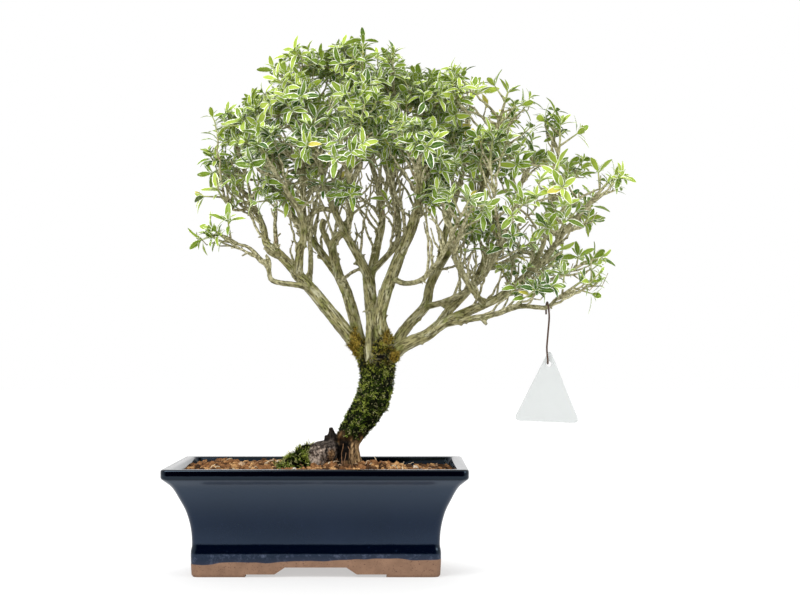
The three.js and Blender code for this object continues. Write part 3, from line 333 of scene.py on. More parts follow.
# The crevice between the limbs' feet, painted dark as painted shade, and the hollow at the trunk's foot,
# where an old root has rotted, painted near black inside as painted shade
CREVICE = Zone((55, -10, 190), (7, 20, 2.6))
CREVICE_EDGE = Sizes(patch=0, fine=0.3, fade=(0.6, 1.1))
HOLLOW = Sizes(left=15, right=28, edge=2, high=119, fade=6, depth=6.5, behind=4, mean=0.7, uneven=0.6,
               lump_size=5, fine=0.6, dark=(-0.7, -0.3))
# Heights up to which bark turns to bare root, and from which the snags are dark. Below these radii wood is
# as pale and rough as a twig
ROOT_TO = (128, 138)
SNAG_DARK_FROM = (112, 118)
SNAG_DARK = 0.8
THIN = (1.6, 3.4)
# Creases down the stump painted dark as painted shade, the brown post of rotten wood between them, the dark
# top of the dead wood, and the roots that catch the light
CREASES = Sizes(places=(7, 15), waver=2, reach=1.4, top=112)
POST = Sizes(left=8, right=14, top=108, fade=5, share=0.85)
DEAD_TOP = (104, 109)
LIT = Sizes(x=(24, 29), waver=3, height=(108, 118))
# Golden moss near the trunk's top: how golden it gets, and between which heights
GOLD = Sizes(share=0.55, low=168, high=200)
# A tuft of moss blades, and the two faces of a blade with how far up it their corners are
TUFT = Sizes(blades=6, length=2.7, width=0.3, spread=(0.1, 1.0), upright=0.15, size=(0.6, 1.2), bend_at=0.55,
             droop=0.25, uneven=(0.5, 1.1))
BLADE_FACES = [(0, 1, 2, 3), (3, 2, 4)]
BLADE_ALONG = [0, 0, 0.6, 0.6, 1]
# How bright moss is, 0 to 1: its mean, its broad and fine patches, and its painted shade where it faces
# right.
# Then the trunk's moss, and the mound's cushions with their sprigs: brighter moss is longer
PATCHES = Sizes(mean=0.42, broad_size=10, broad=0.9, fine_size=4, fine=0.6, right=0.25)
TRUNK_MOSS = Sizes(seed=17, cover=0.46, least=0.1, sunk=0.4, rusty=(0.3, 1), spread=0.3, short=0.55,
                   longer=0.8)
MOUND = Sizes(seed=23, voxel=1.5, lump=2.2, lump_size=6, inset=1.3, lowest=-0.2, cover=0.62, sunk=0.6,
              upright=0.4, mean=0.3, by_lump=1.4, spread=0.15, short=0.6, brightest=0.8)
SPRIG = Sizes(share=0.17, length=(1.5, 3.1), width=0.42, blades=2, tone=(0.75, 1), patch=0.9)

# Soil: its relief and slope, the clay grains on it, fine roots down the tree's foot and dry ones between the
# grains. Rays that look for the soil start above it, and those that look for the foot before it
ABOVE_SOIL = 170
BEFORE_FOOT = -90
SOIL = Sizes(lowest=82, relief=0.5, relief_size=4, drop=3.2, drop_from=-10, drop_to=50, left_share=-0.5,
             slope_from=-40, slope_to=50)
GRAINS = Sizes(seed=21, spacing=4.7, rows=0.86, scatter=1.1, inside_rim=11.5, wall=0.6, clear_of=0.8,
               smallest=1.6, spread=2.5, uneven=2.2, sunk=0.3, forms=24, squash=(0.72, 1.1), lump=0.42,
               lumps=1.3)
ROOTLETS = Sizes(seed=41, count=9, left=7, right=28, top=(94, 114), bottom=86, radius=(0.2, 0.4), drift=7,
                 wander=0.7, clear_of=(0.2, 1.6), steps=7, spacing=2, end=0.6, sides=6, palest=0.6)
DRY_ROOTS = Sizes(count=46, across=(-100, 112), back=(-50, 78), above=0.5, length=(4, 11), spacing=1.5,
                  radii=[0.5, 0.45, 0.3], rise=(2, 5), end=(0.5, 6), sides=5, tone=(0.5, 1))

# The glaze's lower edge: its height at the left and the right, its waves, and where it starts to run thin.
# Above it: a dark band, a wall painted paler upwards as painted reflection, a lip painted dark as painted
# shade
GLAZE = Sizes(edge=(10.5, 16), wave=1.6, wave_length=55, thin=6, band_from=(19, 21), band_to=(30, 27),
              paler=(44, 88), lip=(84, 86))
PLAIN_RELIEF = 0.04

# Stage: the floor glows, less round the pot as a painted shadow, from one distance to the other
FLOOR = Sizes(side=4000, front=-480, back=6000, colour=(0.35, 0.35, 0.35))
GLOW_AND_SHADOW = Sizes(middle=(0, -90, 0), reach=(100, 200), strength=(0.5, 0.78))
# The sky lights the object less from the front, so that its dark side stays dark
SKY = Sizes(front=(-0.97, -0.5), strength=(0.03, 1.0))
LAMPS = [
    Sizes(name="key", place=(-700, -900, 1300), aim=(60, 0, 200), size=900, power=19, in_gloss=True),
    Sizes(name="fill", place=(1100, -700, 700), aim=(60, 0, 250), size=700, power=6, in_gloss=True),
    Sizes(name="front", place=(60, -1900, 560), aim=(60, 0, 260), size=900, power=11, in_gloss=False),
]
CAMERA = Sizes(place=(72.7, -1626, 202), up=1.19, lens=81, sensor=36, near=0.05)


# Vectors and chance
def vec(*values):
    return np.array(values, dtype=float)


def unit(vector):
    return vector / math.sqrt(vector @ vector)


def between(p, q):
    return unit(q - p)


def square_to(direction):
    """A direction square to another one, as level as it can be."""
    side = np.cross(direction, UP) if abs(direction[2]) < 0.95 else vec(1, 0, 0)
    return unit(side - direction * (side @ direction))


def turned(vector, axis, angle):
    part = vector * math.cos(angle) + np.cross(axis, vector) * math.sin(angle)
    return part + axis * (axis @ vector) * (1 - math.cos(angle))


def blend(a, share_a, b, share_b):
    return unit(a * share_a + b * share_b)


def mulberry(seed):
    """The same stream of chance as in the CAD source."""
    state = seed
    mask = 0xFFFFFFFF

    def draw():
        nonlocal state
        state = (state + 0x6D2B79F5) & mask
        t = ((state ^ (state >> 15)) * (state | 1)) & mask
        t ^= (t + (t ^ (t >> 7)) * (t | 61)) & mask
        return ((t ^ (t >> 14)) & mask) / 4294967296

    return draw


def directions_along(line):
    last = len(line) - 1
    return [between(line[max(i - 1, 0)], line[min(i + 1, last)]) for i in range(last + 1)]


def smooth_line(points, values, spacing):
    """A curve through the points with the values between them, in steps of about one spacing."""
    points = np.asarray(points, float)
    ends = np.vstack([2 * points[0] - points[1], points, 2 * points[-1] - points[-2]])
    line, along = [], []
    for i in range(len(points) - 1):
        p0, p1, p2, p3 = ends[i:i + 4]
        steps = max(1, round(float(np.linalg.norm(p2 - p1)) / spacing))
        for n in range(steps):
            t = n / steps
            line.append(0.5 * (2 * p1 + (p2 - p0) * t + (2 * p0 - 5 * p1 + 4 * p2 - p3) * t * t
                               + (3 * p1 - p0 - 3 * p2 + p3) * t ** 3))
            along.append(values[i] + (values[i + 1] - values[i]) * t)
    return np.array(line + [points[-1]]), np.array(along + [values[-1]])


# Building meshes
class Shape:
    """The points, faces and values of one mesh while it is put together."""

    def __init__(self):
        self.points, self.faces, self.paints, self.values, self.count = [], [], [], {}, 0

    def add(self, points, faces, paint=0, **values):
        first = self.count
        self.points.append(np.asarray(points, float))
        self.faces += [tuple(first + i for i in face) for face in faces]
        self.paints += [paint] * len(faces)
        for name, value in values.items():
            self.values.setdefault(name, []).append(np.broadcast_to(np.asarray(value, float), len(points)))
        self.count += len(points)

    def mesh(self, name):
        data = bpy.data.meshes.new(name)
        data.from_pydata(in_frame(np.vstack(self.points)).tolist(), [], self.faces)
        data.polygons.foreach_set("material_index", self.paints)
        for key, parts in self.values.items():
            set_value(data, key, np.concatenate(parts))
        data.shade_smooth()
        return data


POT_LOW, POT_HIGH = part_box("pot")
POT_MIDDLE = np.array([(POT_LOW.x + POT_HIGH.x) / 2, (POT_LOW.y + POT_HIGH.y) / 2, POT_LOW.z])


def in_frame(points):
    return np.asarray(points) * MM + POT_MIDDLE


def from_frame(points):
    return (np.asarray(points) - POT_MIDDLE) / MM


def set_value(data, name, values):
    data.attributes.new(name, "FLOAT", "POINT").data.foreach_set("value", np.asarray(values, np.float32))


def points_of(data):
    flat = np.empty(len(data.vertices) * 3, np.float32)
    data.vertices.foreach_get("co", flat)
    return flat.reshape(-1, 3).astype(float)


def normals_of(data):
    flat = np.empty(len(data.vertices) * 3, np.float32)
    data.vertex_normals.foreach_get("vector", flat)
    return flat.reshape(-1, 3).astype(float)


def faces_of(data):
    return [tuple(polygon.vertices) for polygon in data.polygons]


def move_points(data, places):
    data.vertices.foreach_set("co", in_frame(places).astype(np.float32).ravel())
    data.update()


def placed(name, data):
    """A new object in the scene."""
    made = bpy.data.objects.new(name, data)
    bpy.context.scene.collection.objects.link(made)
    return made


def piece(name, data, paints, replaced=()):
    """A finished piece of the object, in the frame and on its body."""
    thing = placed(name, data)
    for paint in paints:
        data.materials.append(paint)
    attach(thing, "root")
    if replaced:
        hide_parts(*replaced)


def evaluated(made):
    """The mesh that an object comes to, without the object."""
    data = bpy.data.meshes.new_from_object(made.evaluated_get(bpy.context.evaluated_depsgraph_get()))
    bpy.data.objects.remove(made)
    return data


def reworked(data, *modifiers):
    """A mesh after some modifiers, each given as its kind and its settings."""
    work = placed("work", data)
    for kind, settings in modifiers:
        modifier = work.modifiers.new(kind.lower(), kind)
        for key, value in settings.items():
            setattr(modifier, key, value)
    return evaluated(work)


def ring_faces(rings, sides):
    """Faces between rings of points that all run the same way round, and over both ends."""
    faces = []
    for k in range(rings - 1):
        for i in range(sides):
            a, b = k * sides + i, k * sides + (i + 1) % sides
            faces.append((a, b, b + sides, a + sides))
    return faces + [tuple(range(sides - 1, -1, -1)), tuple(range((rings - 1) * sides, rings * sides))]


def tube(line, radii, sides):
    """Points and faces of a tube whose radius changes from point to point."""
    directions = directions_along(line)
    angles = np.arange(sides) * 2 * math.pi / sides
    side = square_to(directions[0])
    points = []
    for p, direction, radius in zip(line, directions, radii):
        side = unit(side - direction * (side @ direction))
        other = np.cross(direction, side)
        points.append(p + radius * (np.outer(np.cos(angles), side) + np.outer(np.sin(angles), other)))
    return np.vstack(points), ring_faces(len(line), sides)


# Paints
class Nodes:
    """A node tree, with short calls for the few kinds of nodes that are used here."""

    def __init__(self, owner):
        owner.use_nodes = True
        self.nodes = owner.node_tree.nodes
        self.links = owner.node_tree.links
        self.coordinates = self.nodes.new("ShaderNodeTexCoord").outputs
        self.place = self.coordinates["Object"]

    def feed(self, socket, value):
        """Link a socket, or set it to a number, a vector or a colour."""
        if isinstance(value, bpy.types.NodeSocket):
            self.links.new(value, socket)
        else:
            socket.default_value = (*value, 1) if socket.type == "RGBA" and len(value) == 3 else value

    def node(self, kind, inputs, **settings):
        node = self.nodes.new("ShaderNode" + kind)
        for key, value in settings.items():
            setattr(node, key, value)
        for key, value in inputs.items():
            self.feed(node.inputs[key], value)
        return node

    def value(self, name, output="Fac"):
        return self.node("Attribute", {}, attribute_name=name).outputs[output]

    def noise(self, size, detail=3, roughness=0.55, place=None):
        """Noise with features of about this size in millimetres."""
        where = place or self.place
        inputs = {"Vector": where, "Scale": 1 / (size * MM), "Detail": detail, "Roughness": roughness}
        return self.node("TexNoise", inputs).outputs["Fac"]

    def math(self, operation, a, b=0.0):
        return self.node("Math", {0: a, 1: b}, operation=operation).outputs[0]

    def ramp(self, value, low, high, to_low=0.0, to_high=1.0):
        inputs = {"Value": value, "From Min": low, "From Max": high, "To Min": to_low, "To Max": to_high}
        return self.node("MapRange", inputs, interpolation_type="SMOOTHSTEP").outputs["Result"]

    def mix(self, share, a, b):
        node = self.node("Mix", {}, data_type="RGBA")
        sockets = {socket.name: socket for socket in node.inputs if socket.enabled}
        for key, value in (("Factor", share), ("A", a), ("B", b)):
            self.feed(sockets[key], value)
        return next(socket for socket in node.outputs if socket.enabled)

    def patches(self, size, low, high, share=1.0, **look):
        """Patches where noise of this size rises from one level to another, up to this share."""
        return self.ramp(self.noise(size, **look), low, high, 0, share)

    def spotted(self, under, over, size, low, high, share=1.0, **look):
        """One colour with patches of another."""
        return self.mix(self.patches(size, low, high, share, **look), under, over)

    def axis(self, name, vector=None):
        return self.node("SeparateXYZ", {"Vector": vector or self.place}).outputs[name]


class Paint(Nodes):
    """A material, as the nodes that feed its one shader."""

    def __init__(self, name, roughness, settings=None):
        self.material = bpy.data.materials.new(name)
        super().__init__(self.material)
        self.shader = self.nodes["Principled BSDF"]
        self.set("Roughness", roughness)
        for key, value in (settings or {}).items():
            self.set(key, value)

    def set(self, key, value):
        self.feed(self.shader.inputs[key], value)

    def height(self):
        """Height above the floor in millimetres."""
        return self.math("MULTIPLY", self.axis("Z"), 1 / MM)

    def bump(self, height, depth):
        """Relief of this depth in millimetres."""
        self.set("Normal", self.node("Bump", {"Height": height, "Distance": depth * MM}).outputs["Normal"])

    def done(self, colour):
        self.set("Base Color", colour)
        return self.material


def shade(*levels):
    """An sRGB colour, 0 to 255, as the linear colour that the shaders take."""
    shares = [level / 255 for level in levels]
    return tuple(s / 12.92 if s <= 0.04045 else ((s + 0.055) / 1.055) ** 2.4 for s in shares)


def glaze_paint():
    """Dark blue glaze that ends in a wavy line above the bare clay of the feet."""
    paint = Paint("glaze", 0.1, {"Specular IOR Level": 0.42, "Specular Tint": (0.52, 0.72, 0.95)})
    height = paint.height()
    body = paint.mix(paint.noise(40), shade(6, 12, 28), shade(14, 22, 42))
    # Paler towards the top: a painted reflection
    body = paint.mix(paint.ramp(height, *GLAZE.paler, 0, 0.75), body, shade(54, 62, 74))
    smudges = paint.patches(5, 0.48, 0.72, 0.7, detail=5, roughness=0.7)
    smudges = paint.math("MULTIPLY", smudges, paint.ramp(height, *reversed(GLAZE.band_from)))
    body = paint.mix(smudges, body, shade(78, 84, 104))
    band = paint.math("MULTIPLY", paint.ramp(height, *GLAZE.band_from), paint.ramp(height, *GLAZE.band_to))
    body = paint.mix(band, body, shade(0, 3, 16))
    body = paint.spotted(body, shade(26, 36, 60), 3, 0.62, 0.8, 0.5, detail=4)
    clay = paint.mix(paint.noise(9, 5), shade(100, 74, 56), shade(146, 114, 90))
    clay = paint.spotted(clay, shade(86, 58, 46), 1.2, 0.62, 0.7, detail=2)
    rise = paint.ramp(paint.axis("X"), POT_LOW.x, POT_HIGH.x, *GLAZE.edge)
    wave = paint.ramp(paint.noise(GLAZE.wave_length, 2), 0.3, 0.7, -GLAZE.wave, GLAZE.wave)
    edge = paint.math("SUBTRACT", paint.math("ADD", height, wave), rise)
    glazed = paint.ramp(edge, 0, 0.7)
    thin = paint.math("MULTIPLY", glazed, paint.ramp(edge, GLAZE.thin, 0))
    body = paint.mix(paint.math("MULTIPLY", thin, 0.5), body, shade(44, 44, 56))
    # The lip painted near black: painted shade
    body = paint.mix(paint.ramp(height, *GLAZE.lip), body, shade(0, 0, 5))
    paint.bump(paint.noise(14, 2), 0.12)
    paint.set("Roughness", paint.ramp(glazed, 0, 1, 0.85, 0.1))
    return paint.done(paint.mix(glazed, clay, body))


def grain_paint():
    """Fired clay grains, each of its own shade, with a few pale ones."""
    paint = Paint("clay_grains", 0.95, {"Specular IOR Level": 0.1})
    tone = paint.value("tone")
    colour = paint.mix(paint.ramp(tone, 0, 0.6), shade(54, 37, 24), shade(146, 102, 64))
    colour = paint.mix(paint.ramp(tone, 0.6, 0.95), colour, shade(196, 152, 102))
    colour = paint.mix(paint.ramp(tone, 0.985, 0.99), colour, shade(204, 196, 182))
    colour = paint.spotted(colour, shade(52, 36, 26), 1.4, 0.35, 0.75, 0.7, detail=4)
    paint.bump(paint.noise(0.7, 3), 0.35)
    return paint.done(colour)


def root_paint():
    """Fine roots, from brown to straw."""
    paint = Paint("rootlets", 0.8)
    tone = paint.value("tone")
    colour = paint.mix(paint.ramp(tone, 0, 0.5), shade(74, 44, 28), shade(142, 104, 72))
    colour = paint.mix(paint.ramp(tone, 0.6, 1), colour, shade(206, 190, 160))
    paint.bump(paint.noise(1, 3), 0.1)
    return paint.done(colour)


def bark_paint():
    """Olive-grey bark with cracks along the wood, and over it what else each place has, with painted shade
    in the hollow, creases, crevice and under the moss.
    """
    paint = Paint("bark", 0.85, {"Specular IOR Level": 0.12})
    grain = paint.value("grain", "Vector")
    rough = {"detail": 5, "roughness": 0.7}
    cracks = paint.patches(1.3, 0.38, 0.5, **rough, place=grain)
    height = paint.math("ADD", paint.height(), paint.ramp(paint.noise(4), 0.3, 0.7, -3, 3))
    young = paint.mix(paint.noise(14), shade(134, 128, 84), shade(166, 160, 116))
    young = paint.spotted(young, shade(198, 195, 162), 4, 0.45, 0.7, detail=4, roughness=0.6, place=grain)
    young = paint.spotted(young, shade(122, 128, 62), 9, 0.48, 0.66, 0.7, detail=4)
    furrows = paint.ramp(paint.noise(2.4, 4, 0.6, grain), 0.3, 0.5, 0.55, 0)
    young = paint.mix(furrows, young, shade(94, 86, 54))
    twiggy = paint.spotted(shade(104, 100, 62), shade(204, 198, 160), 3, 0.35, 0.65, **rough)
    fibres = paint.patches(3, 0.35, 0.7, detail=5, roughness=0.6, place=grain)
    root = paint.mix(fibres, shade(36, 24, 17), shade(138, 104, 68))
    root = paint.spotted(root, shade(28, 20, 15), 8, 0.5, 0.66, 0.85)
    lit = paint.spotted(shade(62, 44, 28), shade(180, 148, 106), 1.6, 0.4, 0.6, **rough, place=grain)
    dead = paint.spotted(shade(64, 53, 46), shade(200, 182, 166), 3.4, 0.38, 0.6, detail=6, roughness=0.7)
    # Near-black pits in the dead wood: painted shade
    dead = paint.spotted(dead, shade(10, 7, 6), 2.2, 0.47, 0.41, detail=6, roughness=0.75)
    dead = paint.spotted(dead, shade(96, 66, 44), 7, 0.58, 0.72, 0.6)
    dead = paint.mix(paint.ramp(height, *DEAD_TOP, 0, 0.8), dead, shade(30, 26, 25))
    colour = paint.mix(cracks, shade(88, 82, 52), young)
    for layer_here, look in (
        ("thin", twiggy),
        ("root", paint.mix(paint.value("lit"), root, lit)),
        ("dead", dead),
        ("post", paint.spotted(shade(60, 36, 18), shade(182, 142, 96), 1.6, 0.4, 0.6, **rough)),
        ("lichen", paint.spotted(shade(70, 60, 14), shade(164, 138, 58), 2.4, 0.35, 0.65, detail=4)),
        # Bark under the moss painted near black: painted shade under the blades
        ("moss", paint.spotted(shade(4, 6, 1), shade(36, 44, 12), 2, 0.4, 0.7, detail=4)),
        # The hollow, creases and crevice painted near black as painted shade, and the dark tops of the snags
        ("hollow", paint.spotted(shade(7, 5, 4), shade(52, 38, 26), 2, 0.5, 0.8, detail=4)),
    ):
        colour = paint.mix(paint.value(layer_here), colour, look)
    paint.bump(cracks, 0.7)
    return paint.done(colour)


def moss_paint():
    """Moss: painted dark at the root of each blade as painted shade, bright at its tip, in dark, green and
    bright patches.
    """
    paint = Paint("moss", 0.9, {"Specular IOR Level": 0.06})
    patch = paint.value("patch")
    tip = paint.mix(paint.ramp(patch, 0.1, 0.5), shade(14, 18, 7), shade(70, 96, 24))
    tip = paint.mix(paint.ramp(patch, 0.5, 0.95), tip, shade(176, 190, 84))
    tip = paint.mix(paint.ramp(paint.value("tone"), 0.75, 0.95, 0, 0.85), tip, shade(208, 204, 146))
    tip = paint.mix(paint.value("rust"), tip, shade(200, 166, 66))
    # Each blade painted dark at its root: painted shade under the blades
    colour = paint.mix(paint.ramp(paint.value("along"), 0.3, 1), shade(6, 8, 2), tip)
    return paint.done(colour)


def leaf_paint():
    """A green blade with a cream margin of uneven width, a pale midrib and a tint of its own."""
    paint = Paint("leaf", 0.45, {"Specular IOR Level": 0.18})
    across = paint.math("ABSOLUTE", paint.value("across"))
    tint = paint.value("tint")
    green = paint.mix(paint.ramp(tint, 0, 0.35), shade(50, 86, 24), shade(115, 142, 36))
    green = paint.mix(paint.ramp(tint, 0.35, 0.9), green, shade(164, 184, 62))
    green = paint.mix(paint.math("MULTIPLY", paint.value("young"), 0.5), green, shade(184, 202, 96))
    green = paint.mix(paint.ramp(tint, 0.985, 0.99), green, shade(196, 186, 74))
    green = paint.spotted(green, shade(152, 176, 90), 2.4, 0.45, 0.75, 0.45)
    wander = paint.ramp(paint.noise(3.5, 2), 0.2, 0.8, -0.1, 0.1)
    margin = paint.ramp(paint.math("ADD", across, wander), 0.74, 0.82)
    colour = paint.mix(margin, green, shade(252, 254, 238))
    colour = paint.mix(paint.ramp(across, 0.12, 0.02, 0, 0.3), colour, shade(196, 208, 140))
    return paint.done(colour)


def twig_paint():
    """Twigs: grey-brown and rough when old, green when young."""
    paint = Paint("twig", 0.8, {"Specular IOR Level": 0.3})
    old = paint.spotted(shade(102, 98, 60), shade(206, 200, 162), 2.6, 0.35, 0.65, detail=5, roughness=0.7)
    old = paint.spotted(old, shade(116, 78, 58), 9, 0.62, 0.75, 0.5, detail=2)
    colour = paint.mix(paint.ramp(paint.value("young"), 0.3, 1), old, shade(172, 178, 112))
    paint.bump(paint.noise(1.1, 4), 0.4)
    return paint.done(colour)


def plain_paint(name, roughness, dark, light, size, settings=None):
    """A plain finish with a little unevenness of this size."""
    paint = Paint(name, roughness, settings)
    paint.bump(paint.noise(size), PLAIN_RELIEF)
    return paint.done(paint.mix(paint.noise(size * 3), dark, light))


# Pot
def pot_ring(height, inset):
    points = []
    for quarter in range(4):
        sign_x = 1 if quarter in (0, 3) else -1
        sign_y = 1 if quarter < 2 else -1
        for n in range(CORNER_STEPS + 1):
            angle = math.pi / 2 * (quarter + n / CORNER_STEPS)
            points.append((
                sign_x * (POT.half_x - inset - POT.corner) + POT.corner * math.cos(angle),
                sign_y * (POT.half_y - inset - POT.corner) + POT.corner * math.sin(angle),
                height,
            ))
    return points


def lofted(rings):
    shape = Shape()
    shape.add([p for ring in rings for p in ring], ring_faces(len(rings), len(rings[0])))
    return shape


def smooth_profile(profile):
    """A profile with more rings between its own, on a curve through them."""
    line, _ = smooth_line([(*ring, 0) for ring in profile], [0] * len(profile), RING_SPACING)
    return line[:, :2].tolist()


def notch_outline(notch):
    half = [(notch.flat, -1), (notch.flat, FOOT_STEP), (notch.step, FOOT_STEP), (notch.gap, POT.underside)]
    return [(-half[0][0], -1)] + half + [(-x, z) for x, z in reversed(half[1:])]


def round_bar(x, y, hole):
    """A bar through the pot's floor that cuts a round hole."""
    shape = Shape()
    shape.add(*tube([vec(x, y, 0), vec(x, y, POT.floor + 1)], [hole.radius] * 2, hole.sides))
    return shape


def make_pot():
    rings = smooth_profile(POT_SIDE) + POT_LIP + smooth_profile(POT_INSIDE)
    body = lofted([pot_ring(height, inset) for height, inset in rings])
    recess = POT_SIDE[0][1] + POT.foot_width
    cuts = [
        lofted([pot_ring(-1, recess), pot_ring(POT.underside, recess)]),
        lofted([[(x, y, z) for x, z in notch_outline(FRONT_NOTCH)] for y in (POT.half_y, -POT.half_y)]),
        lofted([[(x, y, z) for y, z in notch_outline(SIDE_NOTCH)] for x in (-POT.half_x, POT.half_x)]),
    ]
    for side in (-1, 1):
        cuts += [round_bar(side * DRAIN.x, 0, DRAIN), round_bar(0, side * WIRE_HOLE.y, WIRE_HOLE)]
    cutters = [placed("cutter", cut.mesh("cutter")) for cut in cuts]
    how = {"operation": "DIFFERENCE", "solver": "EXACT"}
    data = reworked(body.mesh("pot_glazed"), *(("BOOLEAN", {"object": cutter, **how}) for cutter in cutters))
    for cutter in cutters:
        bpy.data.objects.remove(cutter)
    data.shade_smooth()
    data.set_sharp_from_angle(angle=math.radians(POT.crease))
    piece("pot_glazed", data, [glaze_paint()], ["pot"])


def make_drain_mesh(name, x):
    """A square of plastic netting: bars both ways with square holes between them."""
    shape = Shape()
    half, radius = MESH_TILE.half, MESH_TILE.bar / 2
    pitch = (2 * half - MESH_TILE.bar) / MESH_TILE.holes
    low = POT.floor + GAP + MESH_TILE.level
    high = low + MESH_TILE.next_level
    for n in range(MESH_TILE.holes + 1):
        offset = -half + radius + n * pitch
        for start, end in (
            (vec(x - half, offset, low), vec(x + half, offset, low)),
            (vec(x + offset, -half, high), vec(x + offset, half, high)),
        ):
            shape.add(*tube([start, end], [radius] * 2, MESH_TILE.sides))
    paint = plain_paint(name, 0.6, shade(30, 30, 30), shade(48, 48, 46), 2)
    piece(name + "_netting", shape.mesh(name), [paint], [name])


def make_wire(name, node, points, wire, paint):
    """A wire that is bent along some points."""
    line, radii = smooth_line(points, [wire.radius] * len(points), wire.spacing)
    shape = Shape()
    shape.add(*tube(line, radii, wire.sides))
    piece(name, shape.mesh(node), [paint], [node])


# Leafy stems: the CAD source's rule, which lays 45 stems and their leaves clear of each other
class Limb:
    """A piece of wood: its centre line, and a radius at each point of it, given for all or for the ends."""

    def __init__(self, name, radii, line):
        self.name = name
        self.line = [vec(*p) for p in line]
        if len(radii) < len(line):
            first, end = radii
            radii = [first + (end - first) * i / (len(line) - 1) for i in range(len(line))]
        self.radii = list(radii)


class Taken:
    """Boxes of the room taken so far. A piece fits where its box meets none of them."""

    def __init__(self):
        self.centres, self.axes, self.halves, self.owners = [], [], [], []

    def take(self, box, owner):
        centre, axes, half = box
        self.centres.append(centre)
        self.axes.append(axes)
        self.halves.append(half)
        self.owners.append(owner)

    def free(self, box, skipped=None):
        centre, axes, half = box
        offsets = np.array(self.centres) - centre
        halves = np.array(self.halves)
        reach = np.linalg.norm(half) + np.linalg.norm(halves, axis=1)
        near = np.linalg.norm(offsets, axis=1) <= reach
        for i in np.nonzero(near)[0]:
            if skipped is not None and self.owners[i] == skipped:
                continue
            other = self.axes[i]
            crosses = np.cross(axes[:, None, :], other[None, :, :]).reshape(9, 3)
            tests = np.vstack([axes, other, crosses])
            gap = np.abs(tests @ offsets[i])
            room = np.abs(tests @ axes.T) @ half + np.abs(tests @ other.T) @ halves[i] + GAP
            if not np.any(((tests ** 2).sum(1) > 1e-4) & (gap > room)):
                return False
        return True


def stem_box(start, end, radius):
    axis = between(start, end)
    side = square_to(axis)
    length = math.dist(start, end)
    return (start + end) / 2, np.array([axis, side, np.cross(axis, side)]), vec(length / 2, radius, radius)


def leaf_box(leaf):
    centre = leaf.root + leaf.along * leaf.length / 2 - leaf.face * leaf.length * LEAF.box_sag
    half = vec(leaf.length / 2, leaf.length * LEAF.width * LEAF_WIDEST, LEAF.box_half)
    return centre, np.array([leaf.along, leaf.across, leaf.face]), half


def inside_dome(place, dome, scale):
    return np.linalg.norm((place - vec(*dome.centre)) / vec(*dome.radius)) < scale


def dome_places(dome, count, scale, start):
    """Places spread evenly over a dome, at a share of its radius."""
    for n in range(count):
        z = 1 - (n + 0.5) / count * (1 - dome.lowest)
        level = math.sqrt(1 - z * z)
        angle = n * GOLDEN_ANGLE + start
        offset = vec(level * math.cos(angle), level * math.sin(angle), z)
        yield vec(*dome.centre) + offset * vec(*dome.radius) * scale


def underside_at(x):
    return UNDERSIDE.height - UNDERSIDE.fall * (x - UNDERSIDE.x) ** 2


def crown_places():
    places = []
    for dome in DOMES:
        others = [other for other in DOMES if other is not dome]
        for place in dome_places(dome, dome.places, DOME_TUCK, dome.start):
            in_other = any(inside_dome(place, other, DOME_TUCK * DOME_OVERLAP) for other in others)
            if place[2] > underside_at(place[0]) and not in_other:
                places.append(place)
    return places


def best_seat(goal, limbs, stems):
    """The spot on a branch that a stem to this goal grows from: near, below it and not taken."""
    best = None
    for limb in limbs:
        for i in range(1, len(limb.line) - 1):
            axis = between(limb.line[i], limb.line[i + 1])
            middle = (limb.line[i] + limb.line[i + 1]) / 2
            radius = (limb.radii[i] + limb.radii[i + 1]) / 2
            away = goal - middle
            to_goal = unit(away)
            crowd = sum(math.dist(stem.base, middle) < SEAT.crowd_reach for stem in stems)
            effort = SEAT.away - SEAT.along * (to_goal @ axis) - SEAT.rise * to_goal[2]
            cost = np.linalg.norm(away) * effort + SEAT.crowd * crowd
            if best is None or cost < best.cost:
                side = unit(away - axis * (away @ axis))
                best = Sizes(cost=cost, goal=goal, on_tip=False, radius=STEM.radius, limb=limb.name,
                             heading=blend(axis, SEAT.onward, side, SEAT.outward),
                             base=middle + side * (radius + STEM.seat))
    return best


def plan_stems(limbs):
    stems = []
    for limb in limbs:
        tip = limb.line[-1]
        heading = between(limb.line[-2], tip)
        lean = blend(heading, TIP_STEM.onward, between(vec(*CROWN_CENTRE), tip), TIP_STEM.outward)
        lean = blend(lean, 1, UP, TIP_STEM.upright)
        stems.append(Sizes(goal=tip + lean * TIP_STEM.length, on_tip=True, limb=limb.name, heading=heading,
                           radius=min(limb.radii[-1], STEM.radius), base=tip + heading * STEM.seat))
    places = crown_places()
    while len(stems) < STEM.count:
        goals = np.array([stem.goal for stem in stems])
        goal = max(places, key=lambda place: np.linalg.norm(goals - place, axis=1).min())
        stems.append(best_seat(goal, limbs, stems))
    return stems


def stem_line(stem, attempt):
    """A stem's centre line, swung aside a little more at each try."""
    aside = turned(square_to(stem.heading), stem.heading, attempt * GOLDEN_ANGLE)
    swing = aside * attempt * STEM.swing
    end = stem.goal + swing * 0.5
    if stem.on_tip:
        return [stem.base, end]
    knee = stem.base + stem.heading * STEM.knee
    length = math.dist(knee, end)
    if length < STEM.straight + STEM.shortest:
        return [stem.base, knee, knee + between(knee, end) * max(length, STEM.straight)]
    rising = blend(between(knee, end), 1, UP, STEM.upright)
    turn = end - rising * STEM.straight + stem.heading * length * STEM.bend + swing
    return [stem.base, knee, end + between(end, turn) * max(math.dist(end, turn), STEM.straight), end]


